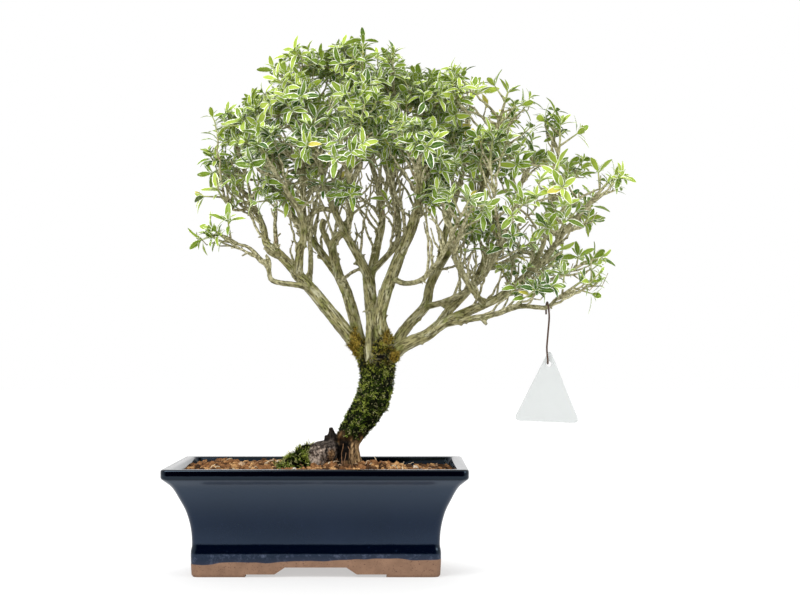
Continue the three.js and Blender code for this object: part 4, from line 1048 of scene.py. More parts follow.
def lay_stem(stem, index, draw, taken):
    """Settle the centre lines of a stem and of its side twigs."""
    spin = draw() * 2 * math.pi
    turns = [draw() - 0.5 for _ in SIDE_TWIGS]
    for attempt in range(STEM.tries):
        line = stem_line(stem, attempt)
        start = line[0] + between(line[0], line[1]) * STEM.clear_of
        starts = [start, *line[1:-1]]
        boxes = [stem_box(p, q, stem.radius) for p, q in zip(starts, line[1:])]
        if not all(taken.free(box) for box in boxes):
            continue
        heading = between(line[-2], line[-1])
        first_side = turned(square_to(heading), heading, spin)
        twigs = []
        for n, (back, length) in enumerate(SIDE_TWIGS):
            root = line[-1] - heading * back
            radius = stem.radius * STEM.side_scale
            for turn in range(TWIG.tries):
                angle = (n + TWIG.first_turn) * math.pi + turns[n] + turn * GOLDEN_ANGLE
                out = turned(first_side, heading, angle)
                along = blend(heading, TWIG.onward, out, TWIG.outward)
                tip = root + along * length
                box = stem_box(root + along * (STEM.radius + TWIG.clear_of), tip, radius)
                if taken.free(box):
                    side = -unit(heading - along * (heading @ along))
                    twigs.append(Sizes(root=root, tip=tip, along=along, side=side, radius=radius, box=box,
                                       length=length, number=n + 1))
                    break
        for box in boxes:
            taken.take(box, (index, 0))
        for twig in twigs:
            taken.take(twig.box, (index, twig.number))
        side = unit(first_side - heading * (first_side @ heading))
        main = Sizes(root=line[-2], tip=line[-1], along=heading, side=side, radius=stem.radius, number=0,
                     length=math.dist(line[-2], line[-1]))
        return Sizes(index=index, line=line, radius=stem.radius, limb=stem.limb, twigs=[main, *twigs])
    return None


def place_leaf(twig, turn, draw, taken, owner):
    """Find room for one of the leaves round a tip."""
    pitch, size = LEAF_PAIRS[turn % 2]
    wander = (draw() - 0.5) * LEAF.wander
    grown = LEAF.smallest + LEAF.spread * draw()
    out = turned(twig.side, twig.along, turn * math.pi / 2)
    for tilt, scale in LEAF_TRIES:
        leaf = leaf_at(twig, out, pitch + wander + tilt, LEAF.length * size * scale * grown, STEM.whorl / 2)
        box = leaf_box(leaf)
        if taken.free(box, owner):
            taken.take(box, owner)
            return leaf
    return None


def leaf_at(twig, out, pitch, length, back):
    angle = math.radians(pitch)
    along = twig.along * math.cos(angle) + out * math.sin(angle)
    across = np.cross(twig.along, out)
    root = twig.tip - twig.along * back + out * twig.radius * LEAF.root_out
    return Sizes(root=root, along=along, across=across, face=np.cross(along, across), length=length,
                 width=LEAF.width, arch=LEAF.arch)


def fine_leaf(twig, out, pitch, share, back, rng):
    """A leaf of the looks alone, at a share of its range of lengths."""
    low, high = FINE_LEAF.length
    leaf = leaf_at(twig, out, pitch, (low + (high - low) * rng.random()) * share, back)
    leaf.width = rng.uniform(*FINE_LEAF.width)
    leaf.arch = rng.uniform(*FINE_LEAF.arch)
    return leaf


def lay_crown(limbs):
    """The leafy stems of the CAD source, each with the leaves that found room."""
    taken = Taken()
    for limb in limbs:
        for i, (p, q) in enumerate(zip(limb.line, limb.line[1:])):
            taken.take(stem_box(p, q, max(limb.radii[i], limb.radii[i + 1])), "wood")
    wire = [vec(*p) for p in TAG_WIRE_POINTS]
    for p, q in zip(wire, wire[1:]):
        taken.take(stem_box(p, q, TAG_WIRE.radius), "tag")
    half = vec(TAG.width / 2 + TAG.clear_of, TAG.clear_of, TAG.height / 2 + TAG.clear_of)
    taken.take((vec(TAG.x, TAG.y, TAG.top - TAG.height / 2), np.eye(3), half), "tag")
    draw = mulberry(CROWN_SEED)
    bearing = [limb for limb in limbs if limb.name not in BARE]
    laid = [lay_stem(stem, index, draw, taken) for index, stem in enumerate(plan_stems(bearing))]
    stems = [stem for stem in laid if stem]
    for stem in stems:
        for twig in stem.twigs:
            owner = (stem.index, twig.number)
            found = [place_leaf(twig, turn, draw, taken, owner) for turn in range(4)]
            twig.leaves = [leaf for leaf in found if leaf]
    return stems


# Foliage
def leaf_faces(count):
    """Faces of a grid of points, from one station of a leaf to the next."""
    return [(k * count + i, k * count + i + 1, (k + 1) * count + i + 1, (k + 1) * count + i)
            for k in range(len(LEAF_OUTLINE) - 1) for i in range(count - 1)]


LEAF_FACES = {stations: leaf_faces(len(stations)) for stations in (LEAF_ACROSS, PLAIN_ACROSS)}


def add_leaf(shape, leaf, rng, young=0.0, stations=PLAIN_ACROSS):
    """A thin blade with a folded midrib, a rippled edge and a tip that bends down."""
    tint = 1.0
    if rng.random() < LEAF_LOOK.green_share:
        tint = min(max(rng.normal(shape.tint, LEAF_LOOK.tint_spread), 0.0), LEAF_LOOK.greenest)
    phase, ripple = rng.random() * LEAF_LOOK.phase, LEAF_LOOK.ripple * leaf.length / LEAF.length
    width = leaf.length * leaf.width / 2
    points, across = [], []
    for t, wide in LEAF_OUTLINE:
        spine = leaf.root + leaf.along * leaf.length * t
        spine = spine + leaf.face * leaf.length * (LEAF.rise * t + leaf.arch * t * t)
        for s in stations:
            wave = math.sin(phase + LEAF_LOOK.waves * t + LEAF_LOOK.twist * s)
            lift = abs(s) * wide * LEAF.fold / 2 + ripple * wave * s * s * wide
            points.append(spine + leaf.across * s * width * wide + leaf.face * lift)
            across.append(s)
    shape.add(points, LEAF_FACES[stations], across=across, tint=tint, young=young)


def add_twig(shape, line, radii, sides, young):
    points, faces = tube(line, radii, sides)
    shape.add(points, faces, 1, across=0, tint=0, young=np.repeat(young, sides))


def kept_open(place):
    """Whether this place lies in one of the crown's openings."""
    return any(math.hypot((place[0] - o.x) / o.reach_x, (place[2] - o.z) / o.reach_z) < 1 for o in OPENINGS)


def add_pairs(shape, twig, rng, first, last, quarter=0):
    """Pairs of leaves down a twig, each pair square to the last."""
    back = first
    while back < last:
        size = 1 - PAIRS.fade * back / max(last, 1)
        bare = kept_open(twig.tip - twig.along * back)
        for half in (0, 1):
            if rng.random() < PAIRS.kept and not bare:
                angle = (quarter / 2 + half) * math.pi + rng.uniform(-PAIRS.twist, PAIRS.twist)
                out = turned(twig.side, twig.along, angle)
                add_leaf(shape, fine_leaf(twig, out, rng.uniform(*PAIRS.pitch), size, back, rng), rng)
        quarter += 1
        back += PAIRS.spacing * rng.uniform(*PAIRS.uneven)


def add_bud(shape, twig, rng, count=4):
    """Young leaves that still stand close round the tip."""
    spin = rng.random() * math.pi
    for n in range(count):
        out = turned(twig.side, twig.along, spin + n * math.pi / 2)
        leaf = fine_leaf(twig, out, rng.uniform(*BUD.pitch), rng.uniform(*BUD.size), BUD.back, rng)
        add_leaf(shape, leaf, rng, young=rng.uniform(*BUD.young))


def add_shoot(shape, root, along, rng):
    """A short side shoot: a thin twig with leaves round its tip."""
    length = SHOOT.shortest + rng.random() * SHOOT.spread
    tip = root + along * length
    if kept_open(tip):
        return
    side = square_to(along)
    twig = Sizes(tip=tip, along=along, side=side, radius=SHOOT.tip)
    middle = (root + tip) / 2 + side * rng.uniform(-SHOOT.bow, SHOOT.bow)
    add_twig(shape, [root, middle, tip], [SHOOT.radius, SHOOT.radius, SHOOT.tip], SHOOT.sides, YOUNG_TO_TIP)
    for turn in range(4):
        out = turned(side, along, turn * math.pi / 2 + rng.uniform(-SHOOT.twist, SHOOT.twist))
        pitch, size = LEAF_PAIRS[turn % 2]
        add_leaf(shape, fine_leaf(twig, out, pitch + rng.uniform(*SHOOT.pitch), size, SHOOT.back, rng), rng)
    add_pairs(shape, twig, rng, SHOOT.pairs_from, length * SHOOT.pairs_to, 1)
    add_bud(shape, twig, rng, 2)


def make_spray(name, stem, paints):
    """The finer form of one leafy stem: its own leaves, and more of them down its twigs."""
    rng = np.random.default_rng(SPRAY.seed + stem.index)
    shape = Shape()
    shape.tint = tint_with_painted_light(stem.line[-1], rng)
    line, _ = smooth_line(stem.line, [0] * len(stem.line), SPRAY.spacing)
    share = np.linspace(0, 1, len(line))
    line = line + rng.normal(0, SPRAY.kink, line.shape) * np.sin(share * math.pi)[:, None]
    add_twig(shape, line, stem.radius * (SPRAY.thick - SPRAY.taper * share), SPRAY.sides, share ** 2)
    for twig in stem.twigs:
        if twig.number:
            middle = (twig.root + twig.tip) / 2
            add_twig(shape, [twig.root, middle, twig.tip], SPRAY.twig_radii, SPRAY.twig_sides, YOUNG_TO_TIP)
        for leaf in twig.leaves:
            add_leaf(shape, leaf, rng, young=rng.uniform(*SPRAY.young), stations=LEAF_ACROSS)
        add_bud(shape, twig, rng)
        leafy_run = min(twig.length, SPRAY.pairs_to) * leafiness(twig.tip)
        add_pairs(shape, twig, rng, SPRAY.pairs_from, leafy_run, 1)
    main = stem.twigs[0]
    shoots_at = SPRAY.shoots_at if leafiness(main.tip) > SPRAY.leafy else ()
    for back in shoots_at:
        angle = back * GOLDEN_ANGLE + rng.uniform(-SPRAY.twist, SPRAY.twist)
        heading = blend(main.along, FORK.onward, turned(main.side, main.along, angle), FORK.outward)
        add_shoot(shape, main.tip - main.along * back, heading, rng)
    piece(name + "_spray", shape.mesh(name), paints, [name])


def tint_with_painted_light(place, rng):
    # A random green, painted brighter towards the crown's top as painted light
    return rng.uniform(*TINT.range) + TINT.top * step_up(place[2], TINT.low, TINT.high)


def leafiness(place):
    """How leafy a twig that ends here is, from 0 to 1."""
    rise = LEAFY.least + (1 - LEAFY.least) * float(step_up(place[2], LEAFY.low, LEAFY.high))
    return rise * (1 - (1 - LEAFY.thinnest) * float(step_up(place[0], LEAFY.thin_from, LEAFY.thin_to)))


def fill_goals(stems, rng):
    """Places round the tips of the leafy stems, inside the crown and above its underside."""
    goals = []
    tips = np.array([stem.line[-1] for stem in stems])
    for tip in tips:
        lowest = min(underside_at(tip[0]), tip[2]) - FILL.below
        for _ in range(round(FILL.per_stem * (FILL.least + (1 - FILL.least) * leafiness(tip)))):
            out = unit(rng.normal(size=3)) * FILL.reach * rng.random() ** 0.5
            goal = tip + out * vec(1, 1, FILL.flat)
            if not any(inside_dome(goal, dome, FILL.inside) for dome in DOMES):
                goal = tip - out * vec(1, 1, FILL.flat)
            goal[2] = max(goal[2], lowest)
            goal = np.clip(goal, tips.min(0), tips.max(0))
            goals.append((goal, leafiness(goal)))
    goals += zone_goals(THICKET, rng)
    return [(goal, leafy) for goal, leafy in goals if not kept_open(goal)]


def zone_goals(zones, rng):
    """Places inside some zones, each with how leafy a twig that ends there is."""
    goals = []
    for zone in zones:
        for _ in range(zone.twigs):
            place = unit(rng.normal(size=3)) * rng.random() ** FILL.edge
            goals.append((vec(*zone.centre) + place * vec(*zone.radius), zone.leafy))
    return goals


class Starts:
    """The places on branches and stems that fine twigs can start from, and how crowded each is."""

    def __init__(self, limbs, stems):
        lines = [(limb.name, limb.line) for limb in limbs if limb.name not in BARE]
        lines += [(stem.limb, stem.line[:-1]) for stem in stems if len(stem.line) > 3]
        pairs = [(name, p, q) for name, line in lines for p, q in zip(line, line[1:])]
        self.spots = np.array([p + (q - p) * share for _, p, q in pairs for share in FILL.starts])
        self.axes = np.array([between(p, q) for _, p, q in pairs for _ in FILL.starts])
        self.limbs = [name[0] for name, _, _ in pairs for _ in FILL.starts]
        self.crowd = np.zeros(len(self.spots))

    def best(self, goal):
        """The start for a twig to this goal: near, below it and not crowded."""
        away = goal - self.spots
        distance = np.linalg.norm(away, axis=1)
        to_goal = away / distance[:, None]
        effort = SEAT.away - SEAT.along * (to_goal * self.axes).sum(1) - SEAT.rise * to_goal[:, 2]
        cost = distance * effort + FILL.crowd * self.crowd + FILL.too_near * (distance < FILL.shortest)
        best = int(np.argmin(cost))
        self.crowd += np.linalg.norm(self.spots - self.spots[best], axis=1) < FILL.crowd_reach
        return self.spots[best], self.axes[best], self.limbs[best]


def make_fill(limbs, stems, paints):
    """Fine twigs that rise from branches and stems between the laid ones and fill the crown with leaves."""
    rng = np.random.default_rng(FILL.seed)
    starts = Starts(limbs, stems)
    shapes = {}

    def grow(goals):
        for goal, leafy in goals:
            spot, axis, limb = starts.best(goal)
            shape = shapes.setdefault(limb, Shape())
            shape.tint = tint_with_painted_light(goal, rng)
            add_fill_twig(shape, spot, axis, goal, leafy, rng)

    grow(fill_goals(stems, rng))
    grow(zone_goals(EDGES, rng))
    for limb, shape in sorted(shapes.items()):
        piece(f"fine_twigs_{limb}", shape.mesh(f"fine_twigs_{limb}"), paints)


def fill_line(base, axis, goal, rng):
    """The crooked centre line of a fine twig, on a curve that leaves its branch and rises to its end."""
    length = math.dist(base, goal)
    start = blend(axis, 1, between(base, goal), 1)
    end = blend(between(vec(*CROWN_CENTRE), goal), RISE.outward, UP, RISE.upward)
    first, last = base + start * length * FINE_TWIG.first, goal - end * length * FINE_TWIG.last
    steps = max(4, round(length / FINE_TWIG.step))
    t = np.linspace(0, 1, steps + 1)[:, None]
    line = ((1 - t) ** 3 * base + 3 * t * (1 - t) ** 2 * first
            + 3 * t ** 2 * (1 - t) * last + t ** 3 * goal)
    line[1:-1] += rng.normal(0, FINE_TWIG.kink, (steps - 1, 3))
    return line, t.ravel()


def add_fill_twig(shape, base, axis, goal, leafy, rng):
    """A fine twig: leaves round its tip, pairs and shoots down its leafy run, then forks and dead stubs."""
    length = math.dist(base, goal)
    line, shares = fill_line(base, axis, goal, rng)
    thick = FINE_TWIG.radius * min(1, length / FINE_TWIG.full_at + FINE_TWIG.least)
    radii = thick * (1 - shares) + FINE_TWIG.tip * shares
    add_twig(shape, line, radii, FINE_TWIG.sides, shares ** 3 * (leafy > 0))
    along = between(line[-2], line[-1])
    if leafy or rng.random() < FINE_TWIG.bare_tip:
        twig = Sizes(tip=line[-1], along=along, side=square_to(along), radius=FINE_TWIG.tip)
        add_pairs(shape, twig, rng, *FINE_TWIG.first_pairs)
        add_bud(shape, twig, rng)
    leafy_run = min(FINE_TWIG.leafy_run, length * FINE_TWIG.leafy_share) * leafy
    back = 0.0
    turn = rng.random() * 6
    for i in range(len(line) - 2, 0, -1):
        back += math.dist(line[i], line[i + 1])
        local = between(line[i - 1], line[i])
        turn += GOLDEN_ANGLE
        out = turned(square_to(local), local, turn)
        side_way = blend(local, FORK.onward, out, FORK.outward)
        root = radii[i] * SIDE_RADII.root
        if back > leafy_run:
            if rng.random() < FINE_TWIG.forks:
                fork = line[i] + side_way * rng.uniform(*FINE_TWIG.fork_run)
                rise = blend(side_way, RISE.fork, UP, RISE.upward)
                end = fork + rise * rng.uniform(*FINE_TWIG.fork_rise)
                forked = [root, radii[i] * SIDE_RADII.fork, FINE_TWIG.tip]
                add_twig(shape, [line[i], fork, end], forked, SIDE_RADII.sides, [0, 0, 0])
            elif rng.random() < FINE_TWIG.stubs:
                end = line[i] + side_way * rng.uniform(*FINE_TWIG.stub_run)
                stub = [root, radii[i] * SIDE_RADII.stub]
                add_twig(shape, [line[i], end], stub, SIDE_RADII.sides, [0, 0])
        elif rng.random() < FINE_TWIG.shoots:
            add_shoot(shape, line[i], side_way, rng)
        else:
            here = Sizes(tip=line[i], along=local, side=out, radius=radii[i])
            add_pairs(shape, here, rng, *FINE_TWIG.last_pairs, i)


# Wood
def limb_samples(limbs):
    """Points close together along every limb, with what the bark needs there."""
    points, frames, alongs, radii, names = [], [], [], [], []
    for limb in limbs:
        line, values = smooth_line(limb.line, limb.radii, BARK.sample)
        side = square_to(between(line[0], line[1]))
        along = 0.0
        for i, (p, direction) in enumerate(zip(line, directions_along(line))):
            along += math.dist(p, line[i - 1]) if i else 0
            side = unit(side - direction * (side @ direction))
            points.append(p)
            frames.append((direction, side, np.cross(direction, side)))
            alongs.append(along)
            radii.append(values[i])
            names.append(limb.name)
    return [np.array(found) for found in (points, frames, alongs, radii, names)]


def nearest_samples(places, points, radii, names):
    """For each place the sample of the limb whose surface lies nearest to it."""
    nearest = np.zeros(len(places), int)
    gaps = np.full(len(places), np.inf)
    for name in np.unique(names):
        samples = np.nonzero(names == name)[0]
        reach = radii[samples].max() + BARK.reach
        low, high = points[samples].min(0) - reach, points[samples].max(0) + reach
        close = np.nonzero(((places > low) & (places < high)).all(1))[0]
        away = np.linalg.norm(places[close, None] - points[None, samples], axis=2)
        best = away.argmin(1)
        gap = away[np.arange(len(close)), best] - radii[samples][best]
        better = gap < gaps[close]
        nearest[close[better]] = samples[best[better]]
        gaps[close[better]] = gap[better]
    return nearest


def add_stubs(shape, limbs, rng):
    """Short dead spurs and knots along the branches."""
    for limb in limbs:
        if limb.name in FOOT:
            continue
        line, radii = smooth_line(limb.line, limb.radii, STUBS.spacing)
        for i in range(2, len(line) - 2):
            if rng.random() > STUBS.share:
                continue
            axis = between(line[i - 1], line[i + 1])
            out = turned(square_to(axis), axis, rng.random() * 2 * math.pi)
            heading = blend(axis, rng.uniform(*STUBS.lean), out, 1)
            most = rng.uniform(*STUBS.length)
            grown = STUBS.least + (1 - STUBS.least) * rng.random()
            length = radii[i] + most * grown
            thick = min(radii[i] * STUBS.of_branch, rng.uniform(*STUBS.thick))
            tip = line[i] + heading * length + rng.normal(0, STUBS.kink, 3)
            bend = line[i] + heading * length * STUBS.bend_at
            thicknesses = [thick * STUBS.root, thick, thick * STUBS.end]
            shape.add(*tube([line[i], bend, tip], thicknesses, STUBS.sides))


def noise_at(places, size):
    """Noise with features of about this size at each place."""
    return np.array([noise.noise(Vector(p) / size) for p in places])


def fissure(place):
    """Relief of bark from -1 in a crack to 1 on a ridge."""
    ridge = 1 - FISSURE.steep * abs(noise.noise(place * FISSURE.ridges))
    return FISSURE.ridge * ridge + FISSURE.fine * noise.noise(place * FISSURE.fines)


def make_wood(limbs):
    """One skin over all the wood. It also gives the skin's points, their normals, what grows there and where
    shade and light are painted on it.
    """
    shape = Shape()
    for limb in limbs:
        line, radii = smooth_line(limb.line, limb.radii, BARK.spacing)
        shape.add(*tube(line, radii, BARK.sides))
    add_stubs(shape, limbs, np.random.default_rng(BARK.seed))
    data = reworked(
        shape.mesh("tree_bark"),
        ("REMESH", {"mode": "VOXEL", "voxel_size": BARK.voxel * MM, "use_smooth_shade": True}),
        ("SMOOTH", {"factor": 0.5, "iterations": 3}),
    )
    points, frames, alongs, radii, names = limb_samples(limbs)
    places, normals = from_frame(points_of(data)), normals_of(data)
    nearest = nearest_samples(places, points, radii, names)
    offset = places - points[nearest]
    direction, side, other = (frames[nearest, n] for n in range(3))
    along = alongs[nearest] + (offset * direction).sum(1)
    grain = np.column_stack([(offset * side).sum(1), (offset * other).sum(1), along * BARK.stretch])
    radius = radii[nearest]
    depth = np.clip(FISSURE.depth + FISSURE.by_radius * radius, 0, FISSURE.deepest)
    lumpy = np.clip((radius - BARK.lump_from) / BARK.lump_over, BARK.least_lump, 1)
    swell = noise_at(places, BARK.lump_size) * BARK.lump * lumpy
    relief = np.array([fissure(Vector(g)) for g in grain]) * depth
    moved = places + normals * (relief + swell)[:, None]
    rough = HOLLOW.mean + HOLLOW.uneven * noise_at(places, HOLLOW.lump_size)
    moved[:, 1] += HOLLOW.depth * in_hollow(places) * rough * (normals[:, 1] < 0)
    move_points(data, moved)
    grown = growth_and_shading(moved, radius, names[nearest])
    for key, values in grown.items():
        set_value(data, key, values)
    grains = data.attributes.new("grain", "FLOAT_VECTOR", "POINT").data
    grains.foreach_set("vector", (grain * MM).astype(np.float32).ravel())
    piece("tree_bark", data, [bark_paint()], ["tree_wood"])
    return moved, normals_of(data), grown


def step_up(values, low, high):
    t = np.clip((values - low) / (high - low), 0, 1)
    return t * t * (3 - 2 * t)


def in_hollow(places):
    """How far inside the hollow at the trunk's foot each point lies, from 0 to 1."""
    x, y, z = places.T
    left = step_up(x, HOLLOW.left - HOLLOW.edge, HOLLOW.left + HOLLOW.edge)
    right = 1 - step_up(x, HOLLOW.right - HOLLOW.edge, HOLLOW.right + HOLLOW.edge)
    return left * right * (y < HOLLOW.behind) * (1 - step_up(z, HOLLOW.high - HOLLOW.fade, HOLLOW.high))


def outside(places, zone):
    """How far out of a zone's middle each place lies, with 1 at its edge."""
    return np.linalg.norm((places - vec(*zone.centre)) / vec(*zone.radius), axis=1)


def in_zones(places, zones, edge, patch, fine):
    """How far inside the nearest of some zones with ragged edges each place lies, from 0 to 1."""
    inside = np.zeros(len(places))
    for zone in zones:
        away = outside(places, zone) + edge.patch * patch + edge.fine * fine
        inside = np.maximum(inside, 1 - step_up(away, *edge.fade))
    return inside


def growth_and_shading(places, radius, names):
    """How much of each growth, and of painted shade and painted light, there is at each point of the wood.
    """
    x, _, height = places.T
    patch, fine = noise_at(places, RAGGED.patch_size), noise_at(places, RAGGED.fine_size)
    ragged = height + RAGGED.patch * patch + RAGGED.fine * fine
    mossy = np.isin(names, MOSSY)
    rooty = np.isin(names, ("trunk", *ROOTS))
    snag = np.char.startswith(names, "snag")
    dead = snag | (names == "stump")
    lower = MOSS.lower * step_up(x, *MOSS.lower_at)
    moss = mossy * step_up(ragged + lower, *MOSS.bottom) * (1 - step_up(ragged, *MOSS.top))
    moss = np.maximum(moss, mossy * in_zones(places, HIGH_MOSS, HIGH_MOSS_EDGE, patch, fine))
    lichen = in_zones(places, RUST, RUST_EDGE, patch, fine)
    # Painted shade in the hollow, the creases and the crevice, with the dark tops of the snags
    hollow = in_hollow(places) * step_up(patch + HOLLOW.fine * fine, *HOLLOW.dark)
    hollow = np.maximum(hollow, SNAG_DARK * snag * step_up(height, *SNAG_DARK_FROM))
    across = x + CREASES.waver * fine
    for middle in CREASES.places:
        crease = dead * (1 - step_up(abs(across - middle), 0, CREASES.reach)) * (height < CREASES.top)
        hollow = np.maximum(hollow, crease)
    crevice = in_zones(places, [CREVICE], CREVICE_EDGE, patch, fine)
    post = dead * (across > POST.left) * (across < POST.right)
    return {
        "moss": moss * (1 - MOSS.thinned * lichen) * (1 - hollow) * (crevice < 0.5),
        "lichen": lichen,
        "root": rooty * (1 - step_up(ragged, *ROOT_TO)) * ~dead,
        "hollow": np.maximum(hollow, crevice > 0.3),
        "lit": step_up(x + LIT.waver * fine, *LIT.x) * (1 - step_up(ragged, *LIT.height)),
        "dead": dead * 1.0,
        "post": post * (1 - step_up(height, POST.top - POST.fade, POST.top)) * POST.share,
        "thin": 1 - step_up(radius, *THIN),
    }


# Moss
def within(level):
    """A level held between 0 and 1."""
    return min(max(level, 0), 1)


def patchiness(place, normal):
    """How bright the moss is here, from 0 to 1: in patches, and painted darker where it faces right, as
    painted shade.
    """
    broad = PATCHES.broad * noise.noise(Vector(place) / PATCHES.broad_size)
    fine = PATCHES.fine * noise.noise(Vector(place) / PATCHES.fine_size)
    return within(PATCHES.mean + (broad + fine) - PATCHES.right * max(normal[0], 0))


def add_tuft(shape, place, normal, rng, length, width=TUFT.width, blades=TUFT.blades, **look):
    """Fine blades that lean out from one point of a surface."""
    side = square_to(normal)
    other = np.cross(normal, side)
    for _ in range(blades):
        angle = rng.random() * 2 * math.pi
        out = side * math.cos(angle) + other * math.sin(angle)
        heading = unit(normal + out * rng.uniform(*TUFT.spread) + UP * TUFT.upright)
        wide = np.cross(heading, out) * width
        size = length * rng.uniform(*TUFT.size)
        middle = place + heading * size * TUFT.bend_at
        tip = place + heading * size + out * size * TUFT.droop
        points = [place - wide, place + wide, middle + wide, middle - wide, tip]
        shape.add(points, BLADE_FACES, along=BLADE_ALONG, **look)


def make_trunk_moss(places, normals, grown, paint):
    """Moss on the trunk, and rust-coloured moss above it round the feet of the limbs."""
    rng = np.random.default_rng(TRUNK_MOSS.seed)
    shape = Shape()
    cover = grown["moss"] * TRUNK_MOSS.cover + grown["lichen"] * TRUNK_MOSS.cover
    for i in np.nonzero(cover > TRUNK_MOSS.least)[0]:
        if rng.random() < cover[i]:
            gold = GOLD.share * step_up(places[i][2], GOLD.low, GOLD.high)
            rust = max(grown["lichen"][i], gold) * rng.uniform(*TRUNK_MOSS.rusty)
            patch = within(patchiness(places[i], normals[i]) + rng.normal(0, TRUNK_MOSS.spread))
            length = TUFT.length * rng.uniform(*TUFT.uneven) * (TRUNK_MOSS.short + TRUNK_MOSS.longer * patch)
            seat = places[i] - normals[i] * TRUNK_MOSS.sunk
            add_tuft(shape, seat, normals[i], rng, length, tone=rng.random(), rust=rust, patch=patch)
    piece("trunk_moss", shape.mesh("trunk_moss"), [paint])


def make_moss_mound(paint):
    """Cushions of moss over the CAD mound's form, with longer sprigs on top."""
    rng = np.random.default_rng(MOUND.seed)
    core = reworked(
        frame["nodes"]["moss_mound"].data.copy(),
        ("REMESH", {"mode": "VOXEL", "voxel_size": MOUND.voxel * MM}),
        ("SMOOTH", {"factor": 0.6, "iterations": 6}),
    )
    shape = Shape()
    places, normals = from_frame(points_of(core)), normals_of(core)
    lumps = noise_at(places, MOUND.lump_size)
    places = places + normals * (lumps * MOUND.lump - MOUND.inset)[:, None]
    # The cushions' core painted near black: painted shade under the blades
    shape.add(places, faces_of(core), along=0.1, tone=0.2, rust=0, patch=0.2)
    for place, normal, lump in zip(places, normals, lumps):
        if normal[2] < MOUND.lowest or rng.random() > MOUND.cover:
            continue
        patch = within(MOUND.mean + MOUND.by_lump * lump + rng.normal(0, MOUND.spread))
        seat, heading = place - normal * MOUND.sunk, unit(normal + UP * MOUND.upright)
        if rng.random() < SPRIG.share:
            length, tone = TUFT.length * rng.uniform(*SPRIG.length), rng.uniform(*SPRIG.tone)
            add_tuft(shape, seat, heading, rng, length, SPRIG.width, SPRIG.blades,
                     tone=tone, rust=0, patch=SPRIG.patch)
        length = TUFT.length * rng.uniform(*TUFT.uneven) * (MOUND.short + patch)
        tone = rng.random() * MOUND.brightest
        add_tuft(shape, seat, heading, rng, length, tone=tone, rust=0, patch=patch)
    piece("moss_cushions", shape.mesh("moss_cushions"), [paint], ["moss_mound"])


# Soil
def grain_form(rng):
    """A lumpy grain of radius 1."""
    directions, faces = GRAIN_BALL
    points = directions * rng.uniform(*GRAINS.squash, 3)
    shift = rng.random(3) * 50
    bumps = np.array([noise.noise(Vector(d * GRAINS.lumps + shift)) for d in directions])
    return points * (1 + GRAINS.lump * bumps)[:, None], faces


def ball(subdivisions):
    data = bpy.data.meshes.new("ball")
    build = bmesh.new()
    bmesh.ops.create_icosphere(build, subdivisions=subdivisions, radius=1)
    build.to_mesh(data)
    build.free()
    return points_of(data), faces_of(data)


GRAIN_BALL = ball(1)


def rotation(rng):
    w, x, y, z = unit(rng.normal(size=4))
    return np.array([
        [1 - 2 * (y * y + z * z), 2 * (x * y - z * w), 2 * (x * z + y * w)],
        [2 * (x * y + z * w), 1 - 2 * (x * x + z * z), 2 * (y * z - x * w)],
        [2 * (x * z - y * w), 2 * (y * z + x * w), 1 - 2 * (x * x + y * y)],
    ])


def tree_over(*meshes):
    """A search tree over the faces of some meshes."""
    points, faces = [], []
    for data in meshes:
        first = len(points)
        points += [v.co.copy() for v in data.vertices]
        faces += [tuple(first + i for i in face) for face in faces_of(data)]
    return bvhtree.BVHTree.FromPolygons(points, faces)


def make_soil_bed():
    """The fine soil between the grains: the CAD soil with relief, a little lower at the pot's far side."""
    soil = frame["nodes"]["soil"].data.copy()
    data = reworked(soil, ("SUBSURF", {"subdivision_type": "SIMPLE", "levels": 2}))
    places, normals = from_frame(points_of(data)), normals_of(data)
    top = (normals[:, 2] > 0.5) & (places[:, 2] > SOIL.lowest)
    drop = SOIL.drop * step_up(places[:, 1], SOIL.drop_from, SOIL.drop_to)
    slope = step_up(places[:, 0], SOIL.slope_from, SOIL.slope_to)
    drop = drop * (SOIL.left_share + (1 - SOIL.left_share) * slope)
    places[:, 2] += top * (noise_at(places, SOIL.relief_size) * SOIL.relief - drop)
    move_points(data, places)
    data.materials.clear()
    paint = Paint("fine_soil", 1.0, {"Specular IOR Level": 0.1})
    paint.bump(paint.noise(1.5, 4), 0.8)
    look = paint.done(paint.mix(paint.noise(2.5, 5), shade(40, 27, 18), shade(96, 66, 42)))
    piece("soil_bed", data, [look], ["soil"])
    return tree_over(data)


def hit_from(tree, start, heading):
    """Where a ray first meets a surface, or None."""
    hit = tree.ray_cast(Vector(in_frame(vec(*start))), Vector(heading))[0]
    return None if hit is None else from_frame(hit)


def ground_at(ground, x, y):
    """The height of the soil's surface here, or None outside it."""
    hit = hit_from(ground, (x, y, ABOVE_SOIL), (0, 0, -1))
    return None if hit is None else hit[2]


